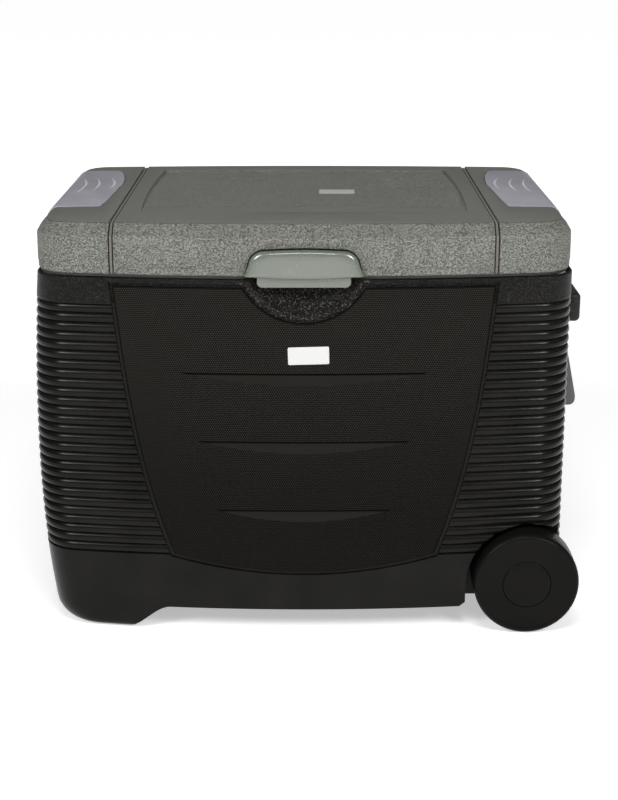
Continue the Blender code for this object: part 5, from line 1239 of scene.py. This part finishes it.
def latch_outline(grow, bottom, steps=16):
    """The latch seen from the front, in X and Z, for cutters and gaps."""
    side = LATCH_HALF_BOTTOM + grow
    right = [(side, bottom), (side, max(bottom + 0.0005, LATCH_BOTTOM))]
    corner = LATCH_CORNER + grow
    cx, cz = LATCH_HALF_TOP + grow - corner, LATCH_TOP + grow - corner
    right += circle(cx + LATCH_SHIFT, cz, corner, steps, LATCH_SLANT, math.pi / 2 - LATCH_SLANT)
    left = [(-x, z) for x, z in reversed(right)]
    spots = [CROWN_HALF - 2 * CROWN_HALF * i / 12 for i in range(1, 12)]
    crown = [(x, LATCH_TOP + grow + CROWN_RISE * (1 - (x / CROWN_HALF) ** 2)) for x in spots]
    return right + crown + left


def flap_plan(grow):
    """The left flap seen from above, running past the lid's end."""
    outside = -LID_HALF - EPS
    middle_y = (FLAP_FRONT_Y + FLAP_BACK_Y) / 2
    stretch = 1 + 2 * grow / (FLAP_BACK_Y - FLAP_FRONT_Y)
    edge = [(-x + grow, middle_y + (y - middle_y) * stretch) for x, y in FLAP_EDGE]
    return [(outside, edge[0][1])] + edge + [(outside, edge[-1][1])]


def pocket_block(grow, floor):
    x = (-POCKET_X[1] - grow, -POCKET_X[0] + grow)
    y = (POCKET_Y[0] - grow, POCKET_Y[1] + grow)
    return prism(rounded(x, y, 0.006 + grow), "z", floor, LID_TOP + EPS)


def tray_half(y):
    """Half the sunk field's width: its sides bow outwards."""
    reach = (y - TRAY_WAIST_Y) / (TRAY_BACK_Y - TRAY_WAIST_Y)
    return TRAY_HALF[1] - (TRAY_HALF[1] - TRAY_HALF[0]) * reach**2


def tray_sink(side, y):
    """How far the field is sunk this far inside its border, at y: deepest at the border and the back."""
    fade = min(max((y - TRAY_FRONT_Y) / TRAY_FADE, 0.0), 1.0)
    wall = min(side / TRAY_WALL, 1.0)
    floor = 1.0 - 0.45 * min(max((side - TRAY_WALL - 0.0012) / 0.0024, 0.0), 1.0)
    far = 0.72 + 0.28 * min(max((y - 0.02) / 0.12, 0.0), 1.0)
    return TRAY_DEPTH * fade * wall * floor * far


def tray_surface(x, y):
    """The height of the lid's sunk field."""
    side = min(tray_half(y) - abs(x), TRAY_BACK_Y - y)
    return top_z(x) - tray_sink(max(side, 0.0), y)


def tray_cutter():
    """A slab whose underside follows the sunk field, so that cutting with it leaves the field."""
    fine = (0.0, 0.0005, 0.0010, 0.0016, 0.0022, 0.0030, 0.0038, 0.0046, 0.0070)
    ys = [TRAY_FRONT_Y + 0.005 * i for i in range(9)] + [-0.085 + 0.015 * i for i in range(15)]
    ys += [TRAY_BACK_Y - step for step in reversed(fine)]
    low, high = [], []
    for y in ys:
        half = tray_half(y)
        xs = [-half + step for step in fine] + [-0.14 + 0.02 * i for i in range(15)]
        xs += [half - step for step in reversed(fine)]
        low.append([(x, y, tray_surface(x, y) + 0.00002) for x in xs])
        high.append([(x, y, LID_TOP + 0.02) for x in xs])
    return slab(low, high)


def make_badge():
    """A small blank plate let into the lid's top."""
    outline = rounded(BADGE_X, BADGE_Y, 0.0015, 5)
    rings = [[(x, y, tray_surface(x, y) + lift) for x, y in outline] for lift in (-0.0003, 0.0003)]
    piece("blank_badge", loft(rings), BADGE, "lid")


def make_seam_strips():
    """The strip at the bottom of each seam between the lid's covers."""
    y, z = (-BACK - EPS, BACK + EPS), (LID_BOTTOM, LID_TOP + EPS)
    for name, centre in (("left", -SEAM_X), ("right", SEAM_X)):
        span = box((centre - STRIP_HALF, centre + STRIP_HALF), y, z)
        strip = cut(lid_solid(STRIP_SUNK[0]), [span], "INTERSECT")
        strip = cut(strip, [lid_solid(STRIP_SUNK[1], LID_BOTTOM - EPS)])
        span = box((centre - BED_HALF, centre + BED_HALF), y, z)
        bed = cut(lid_solid(BED_SUNK[0]), [span], "INTERSECT")
        bed = cut(bed, [lid_solid(BED_SUNK[1], LID_BOTTOM - EPS)])
        piece(f"seam_strip_{name}", joined([strip]), SEAM_GREY, "lid", smooth=24)
        piece(f"seam_bed_{name}", joined([bed]), FRAME_BROWN, "lid", smooth=24)


def make_lid():
    """The lid's middle cover and its two end covers."""
    def room():
        return lid_solid(LID_WALL, LID_BOTTOM - EPS)

    y, z = (-BACK - 2 * EPS, BACK + EPS), (LID_BOTTOM - EPS, LID_TOP + EPS)
    seam = SEAM_X - SEAM_WIDTH / 2
    bite = prism(latch_outline(LATCH_GAP, LID_BOTTOM - EPS), "y", -BACK - 2 * EPS, LATCH_BITE_Y)
    cover = cut(lid_solid(0.0), [box((-seam, seam), y, z)], "INTERSECT")
    cover = cut(cover, [room(), bite])
    cover = edges_eased(tidied(cover), COVER_EASE, 2, 50)
    cover = cut(cover, [tray_cutter()])
    piece("lid_cover_grained", cover, LID_GREY, "lid", ["lid_cover"], 24)

    seam = SEAM_X + SEAM_WIDTH / 2
    recess = prism(flap_plan(GAP + 0.0001), "z", FLAP_LIP_Z - GAP, LID_TOP + EPS)
    recess = cut(recess, [lid_solid(FLAP_SUNK + GAP)])
    end = cut(lid_solid(0.0), [box((-LID_HALF - EPS, -seam), y, z)], "INTERSECT")
    end = cut(end, [room(), recess, pocket_block(0.0, POCKET_FLOOR)])
    end = edges_eased(tidied(end), END_EASE, 2, 50)
    piece("lid_end_left_grained", end.copy(), LID_GREY, "lid", ["lid_end_left"], 24)
    piece("lid_end_right_grained", mirrored(end), LID_GREY, "lid", ["lid_end_right"], 24)


def flap_mark(back, middle, front):
    """A raised crescent on the left flap: a low round ridge through three points, tapered to its tips."""
    rings = []
    for i in range(MARK_STEPS + 1):
        share = i / MARK_STEPS
        weights = (2 * (share - 0.5) * (share - 1), -4 * share * (share - 1), 2 * share * (share - 0.5))
        x = sum(w * point[0] for w, point in zip(weights, (back, middle, front)))
        y = sum(w * point[1] for w, point in zip(weights, (back, middle, front)))
        swell = math.sin(math.pi * share) ** 0.8
        half = MARK_TIP + MARK_HALF * swell
        ring = []
        for side in range(MARK_SIDES):
            turn = math.tau * side / MARK_SIDES
            px = -x + half * math.cos(turn)
            lift = FLAP_PROUD - MARK_SUNK + (MARK_SUNK + MARK_RISE * swell) * math.sin(turn)
            ring.append((px, y, top_z(px) + lift))
        rings.append(ring)
    return loft(rings)


def make_gap_shade_lip():
    """A dark rubber lip that closes the gap between the lid and the cabinet, put there as painted shade to
    keep the gap dark.
    """
    low, high = SHADE_LIP_Z
    outer = loft([lid_ring(z, SHADE_LIP_INSET[0], 0.0, 0.0) for z in (low, high)], strip_caps=True)
    inner = loft([lid_ring(z, SHADE_LIP_INSET[1], 0.0, 0.0) for z in (low - EPS, high + EPS)], strip_caps=True)
    bite = prism(latch_outline(LATCH_GAP, LID_BOTTOM - EPS), "y", -BACK - 2 * EPS, LATCH_BITE_Y)
    piece("gap_shade_lip", cut(outer, [inner, bite]), SOFT_RUBBER, "lid")


def make_flaps():
    """The two smoky flaps over the pockets, with three raised crescents each, coloured pale as a painted
    highlight.
    """
    flap = prism(flap_plan(0.0), "z", FLAP_LIP_Z, LID_TOP + EPS)
    flap = cut(flap, [lid_solid(-FLAP_PROUD, LID_BOTTOM - 0.01)], "INTERSECT")
    flap = cut(flap, [lid_solid(FLAP_SUNK, LID_BOTTOM - EPS)])
    flap = edges_eased(tidied(flap), 0.0006, 3, 50)
    piece("smoky_flap_left", flap.copy(), FLAP_SMOKE, "flap_left", ["pocket_flap_left"], 24)
    piece("smoky_flap_right", mirrored(flap), FLAP_SMOKE, "flap_right", ["pocket_flap_right"], 24)
    marks = joined([flap_mark(*mark) for mark in FLAP_MARKS])
    piece("flap_crescents_left", marks.copy(), CRESCENT_HIGHLIGHT, "flap_left")
    piece("flap_crescents_right", mirrored(marks), CRESCENT_HIGHLIGHT, "flap_right")


# --- latch ------------------------------------------------------------------------------------
def latch_face_outline():
    """The latch handle's own outline: like the gap round it, but with a bowed lower edge."""
    side = LATCH_HALF_BOTTOM
    right = [(side, LATCH_BOTTOM + LATCH_BOW), (side - 0.0004, LATCH_BOTTOM + 0.0050)]
    cx, cz = LATCH_HALF_TOP - LATCH_CORNER, LATCH_TOP - LATCH_CORNER
    right += circle(cx + LATCH_SHIFT, cz, LATCH_CORNER, 18, LATCH_SLANT, math.pi / 2 - LATCH_SLANT)
    left = [(-x, z) for x, z in reversed(right)]
    spots = [CROWN_HALF - 2 * CROWN_HALF * i / 16 for i in range(1, 16)]
    crown = [(x, LATCH_TOP + CROWN_RISE * (1 - (x / CROWN_HALF) ** 2)) for x in spots]
    low = []
    for i in range(1, 30):
        x = LATCH_HALF_BOTTOM * (2 * i / 30 - 1)
        low.append((x, LATCH_BOTTOM + LATCH_BOW * (x / LATCH_HALF_BOTTOM) ** 2))
    return right + crown + left + low


def make_latch():
    """The glossy latch handle with its pillowed face, and the catch below it."""
    face = -LID_FRONT_MIDDLE

    def back(z):
        share = min(max((z - LATCH_PIVOT_Z + 0.003) / 0.006, 0.0), 1.0)
        return face + 0.0028 - 0.0040 * share

    middle = LATCH_MIDDLE_Z
    outline = latch_face_outline()
    rings = [[(x, back(z), z) for x, z in outline]]
    pillow = (
        (0.0, 0.0, 0.0036), (0.0002, 0.0001, 0.0050), (0.0010, 0.0003, 0.0062),
        (0.0026, 0.0006, 0.0073), (0.0052, 0.0010, 0.0082), (0.0092, 0.0015, 0.0089),
        (0.0150, 0.0022, 0.0094), (0.0230, 0.0036, 0.0097), (0.0330, 0.0060, 0.0099),
        (0.0450, 0.0100, 0.0100),
    )
    top = LATCH_TOP - middle
    for across, up, depth in pillow:
        wide, tall = 1 - across / LATCH_HALF_BOTTOM, 1 - up / top
        rings.append([(x * wide, face - depth, middle + (z - middle) * tall) for x, z in outline])
    handle = loft(rings)
    wall = LATCH_WALL
    hollow = []
    for grow, y in ((-wall, face + EPS), (-wall, face - 0.0040), (-0.0085, face - LATCH_PROUD + wall)):
        hollow.append([(x, y, z) for x, z in latch_outline(grow, LATCH_BOTTOM + wall)])
    mouth_z = (CATCH_BOTTOM - EPS, LATCH_BOTTOM + wall + 0.001)
    mouth = box((-CATCH_HALF - GAP, CATCH_HALF + GAP), (face - CATCH_THICK - GAP, face + EPS), mouth_z)
    handle = cut(handle, [loft(hollow), mouth])
    pin = prism(circle(face - 0.0015, LATCH_PIVOT_Z, LATCH_PIN[0], 20), "x", -LATCH_PIN[1], LATCH_PIN[1])
    piece("latch_handle_polished", joined([handle, pin]), LATCH_GREY, "latch", ["latch_handle"], 40)

    outline = rounded((-CATCH_HALF, CATCH_HALF), (CATCH_BOTTOM, CATCH_TOP), CATCH_CORNER, 14)
    middle = Vector((0.0, (CATCH_BOTTOM + CATCH_TOP) / 2))

    def shrunk(by):
        half = Vector((CATCH_HALF, (CATCH_TOP - CATCH_BOTTOM) / 2))
        scale = Vector(((half.x - by) / half.x, (half.y - by) / half.y))
        return [(x * scale.x, middle.y + (z - middle.y) * scale.y) for x, z in outline]

    layers = (
        (0.0007, 0.0), (0.0, -0.0007), (0.0, 0.0007 - CATCH_THICK), (0.0003, 0.0003 - CATCH_THICK),
        (0.0009, -CATCH_THICK),
    )
    rings = [[(x, face + y, z) for x, z in shrunk(by)] for by, y in layers]
    nose = box((-NOSE_HALF, NOSE_HALF), (face - 0.001, face + NOSE_REACH), NOSE_Z)
    piece("latch_catch_polished", joined([loft(rings), nose]), LATCH_GREY, "latch", ["latch_catch"], 40)


# --- wheels -----------------------------------------------------------------------------------
def turned(profile, outside, steps=144, ring=True):
    """A body turned about the wheel's axle from (radius, depth) points; a ring joins its two ends."""
    sign = 1 if outside > 0 else -1
    rings = []
    for radius, depth in profile:
        rings.append([(x, outside - sign * depth, z) for x, z in circle(WHEEL_X, WHEEL_R, radius, steps)])
    return loft(rings, closed_path=ring)


def make_wheels():
    rim, width = WHEEL_R, WHEEL_WIDTH
    recess = CAP_R + GAP
    wheel = (
        (AXLE_BORE, 0.0060), (recess, 0.0060), (recess, 0.0016), (recess + 0.0003, 0.0012), (0.0300, 0.0010),
        (0.0470, 0.0012), (0.0486, 0.0010), (0.0494, 0.0006), (0.0505, 0.0005), (0.0518, 0.0008),
        (0.0530, 0.0017), (0.0540, 0.0032), (0.0545, 0.0050), (rim, 0.0072), (rim, width - 0.003),
        (rim - 0.0010, width - 0.0010), (rim - 0.0030, width), (rim - 0.006, width), (rim - 0.008, 0.010),
        (0.0140, 0.0105), (0.0110, width), (AXLE_BORE, width),
    )
    cap = (
        (CAP_R, 0.0056), (CAP_R, 0.0017), (CAP_R - 0.0003, 0.0012), (CAP_R - 0.0010, 0.0008),
        (0.0180, 0.0004), (0.0100, 0.0001), (0.0020, 0.0),
    )
    for name, outside in (("front", -WHEEL_FRONT_FACE), ("rear", WHEEL_BACK_FACE)):
        body = f"{name}_wheel"
        piece(f"moulded_wheel_{name}", turned(wheel, outside), WHEEL_BLACK, body, [f"wheel_{name}"], 30)
        button = turned(cap, outside, 96, False)
        piece(f"moulded_cap_{name}", button, WHEEL_BLACK, body, [f"hub_cap_{name}"], 30)


# --- handle grip ------------------------------------------------------------------------------
def make_grip():
    """The pull handle's round bar, with a slight waist towards its ends, on its two arms."""
    low, high = GRIP_Z
    inner, outer = ARM_X[0], GRIP_OUT
    section = rounded((inner, outer), (low, high), GRIP_CORNER, 9)
    section = [(x if x > inner + GRIP_CORNER else inner + (x - inner) * GRIP_FLAT, z) for x, z in section]
    middle_z = (low + high) / 2
    rings = []
    ends = ((-1.0, 0.70), (-0.996, 0.82), (-0.988, 0.91), (-0.975, 0.97), (-0.955, 1.0))
    far_ends = [(-y, size) for y, size in reversed(ends)]
    stations = [*ends, (-0.5, 1.0), (0.0, 1.0), (0.5, 1.0), *far_ends]
    for y, size in stations:
        ring = [(inner + (x - inner) * size, middle_z + (z - middle_z) * size) for x, z in section]
        rings.append([(x, y * GRIP_HALF, z) for x, z in ring])
    sockets = []
    for side in (-1, 1):
        y = sorted((side * (ARM_INNER_Y - GAP), side * (ARM_INNER_Y + ARM_WIDTH + GAP)))
        sockets.append(box((ARM_X[0] - EPS, ARM_X[1] + GAP), y, (low - EPS, low + GRIP_SOCKET)))
    piece("grained_grip", cut(loft(rings), sockets), GRIP_BLACK, "pull_handle", ["handle_grip"], 34)


# --- pieces taken over from the CAD -----------------------------------------------------------
CARRIED = {               # node: material, rounding of its edges
    "inner_liner": (LINER_WHITE, 0.0008),
    "cabinet_foam": (FOAM, 0.0),
    "evaporator_sheet": (ALUMINIUM, 0.0),
    "bulkhead": (STEEL, 0.0004),
    "hand_hold_cup": (BAND_BLACK, 0.0006),
    "compressor_deck": (STEEL, 0.0004),
    "compressor": (PAINTED_STEEL, 0.0010),
    "compressor_mount_front": (SOFT_RUBBER, 0.0010),
    "compressor_mount_rear": (SOFT_RUBBER, 0.0010),
    "fan_frame": (PLAIN_BLACK, 0.0004),
    "condenser": (ALUMINIUM, 0.0),
    "filter_drier": (COPPER, 0.0006),
    "suction_line": (COPPER, 0.0),
    "discharge_line": (COPPER, 0.0),
    "motor_controller": (ALUMINIUM, 0.0008),
    "power_supply": (STEEL, 0.0008),
    "rear_grille": (PLAIN_BLACK, 0.0004),
    "intake_grille": (PLAIN_BLACK, 0.0004),
    "socket_panel": (PLAIN_BLACK, 0.0003),
    "dc_socket": (SOFT_RUBBER, 0.0003),
    "ac_inlet": (SOFT_RUBBER, 0.0003),
    "display_window": (GLASS_BLACK, 0.0003),
    "cover_pin": (STEEL, 0.0002),
    "handle_guide": (PLAIN_BLACK, 0.0006),
    "axle": (STEEL, 0.0004),
    "rubber_foot_front": (SOFT_RUBBER, 0.0001),
    "rubber_foot_rear": (SOFT_RUBBER, 0.0001),
    "strike_tongue": (STEEL, 0.0003),
    "hinge_left_cabinet": (STEEL, 0.0003),
    "hinge_right_cabinet": (STEEL, 0.0003),
    "lid_frame": (FRAME_BROWN, 0.0),
    "lid_foam": (FOAM, 0.0),
    "lid_liner": (LINER_WHITE, 0.0006),
    "lid_seal": (SOFT_RUBBER, 0.0012),
    "pocket_tray_left": (FRAME_BROWN, 0.0003),
    "pocket_tray_right": (FRAME_BROWN, 0.0003),
    "hinge_left_lid": (STEEL, 0.0003),
    "hinge_right_lid": (STEEL, 0.0003),
    "handle_arm_front": (STEEL, 0.0006),
    "handle_arm_rear": (STEEL, 0.0006),
    "socket_cover": (COVER_GREY, 0.0008),
    "fan_rotor": (PLAIN_BLACK, 0.0),
    "power_button": (KEY_GREY, 0.0005),
    "down_button": (KEY_GREY, 0.0005),
    "up_button": (KEY_GREY, 0.0005),
}


def carry_over():
    """Gives every remaining CAD node a merged, edge-eased copy in its own finish."""
    bodies = frame["record"]["behaviour"]["bodies"]
    home_body = {node: body for body, nodes in bodies.items() for node in nodes}
    for node, (material, easing) in CARRIED.items():
        mesh = tidied(frame["nodes"][node].data.copy())
        if easing:
            mesh = edges_eased(mesh, easing, 2, 34)
        piece(f"{node}_finished", mesh, material, home_body[node], [node], 34, home=False)


# --- studio -----------------------------------------------------------------------------------
CAMERA_PLACE = (-0.0038, -1.7598, 0.7207)
CAMERA_PITCH = 73.3
CAMERA_LENS = 72.8
FLOOR_HALF = 90.0
LAMPS = (                 # name, place, size, watts
    ("left_softbox", (-1.75, -1.95, 1.75), 0.9, 50.0),
    ("right_softbox", (1.75, -1.95, 1.75), 0.9, 50.0),
    ("top_softbox", (0.0, -1.50, 2.50), 0.8, 24.0),
    ("back_softbox", (0.0, 3.20, 3.20), 1.4, 16.0),
)


def make_studio():
    """A pale floor, soft lights from the front and above, and the camera."""
    scene = bpy.context.scene
    scene.view_settings.view_transform = "Standard"
    uniform = {"Specular IOR Level": 0.1, "Emission Strength": 1.0}
    material, tree, shader, place = new_material("studio_floor", 0.9, 0.0, uniform)
    x, y, _ = tree.axes(place)
    clouds = tree.noise(place, 1.5, 2.0)
    connect(tree, shader, tree.blend(clouds, (0.84, 0.84, 0.84), (0.86, 0.86, 0.86)))
    far = (x * x + y * y).root().ramp(0.3, 3.0)
    glow = tree.blend(far, (0.46, 0.46, 0.46), (0.88, 0.88, 0.88))
    tree.nodes.links.new(glow.socket, shader.inputs["Emission Color"])
    span = (-FLOOR_HALF, FLOOR_HALF)
    ground = prism(rounded(span, span, 2.0), "z", -0.02, -0.0002)
    floor = bpy.data.objects.new("studio_floor", ground)
    floor.data.materials.append(material)
    scene.collection.objects.link(floor)

    world = bpy.data.worlds.new("studio")
    world.use_nodes = True
    world.node_tree.nodes["Background"].inputs["Color"].default_value = (1.0, 1.0, 1.0, 1.0)
    world.node_tree.nodes["Background"].inputs["Strength"].default_value = 0.12
    scene.world = world

    for name, spot, size, power in LAMPS:
        lamp = bpy.data.lights.new(name, "AREA")
        lamp.shape = "SQUARE"
        lamp.size = size
        lamp.energy = power
        obj = bpy.data.objects.new(name, lamp)
        obj.location = spot
        aim = Vector((0.0, 0.0, 0.22)) - Vector(spot)
        obj.rotation_euler = aim.to_track_quat("-Z", "Y").to_euler()
        scene.collection.objects.link(obj)

    camera = bpy.data.objects.new("camera", bpy.data.cameras.new("camera"))
    camera.data.lens = CAMERA_LENS
    camera.data.clip_end = 200.0
    camera.location = CAMERA_PLACE
    camera.rotation_euler = (math.radians(CAMERA_PITCH), 0.0, 0.0)
    scene.collection.objects.link(camera)
    scene.camera = camera


make_studio()
make_shell()
make_front_panel()
make_label()
make_lid()
make_badge()
make_seam_strips()
make_gap_shade_lip()
make_flaps()
make_latch()
make_wheels()
make_grip()
carry_over()
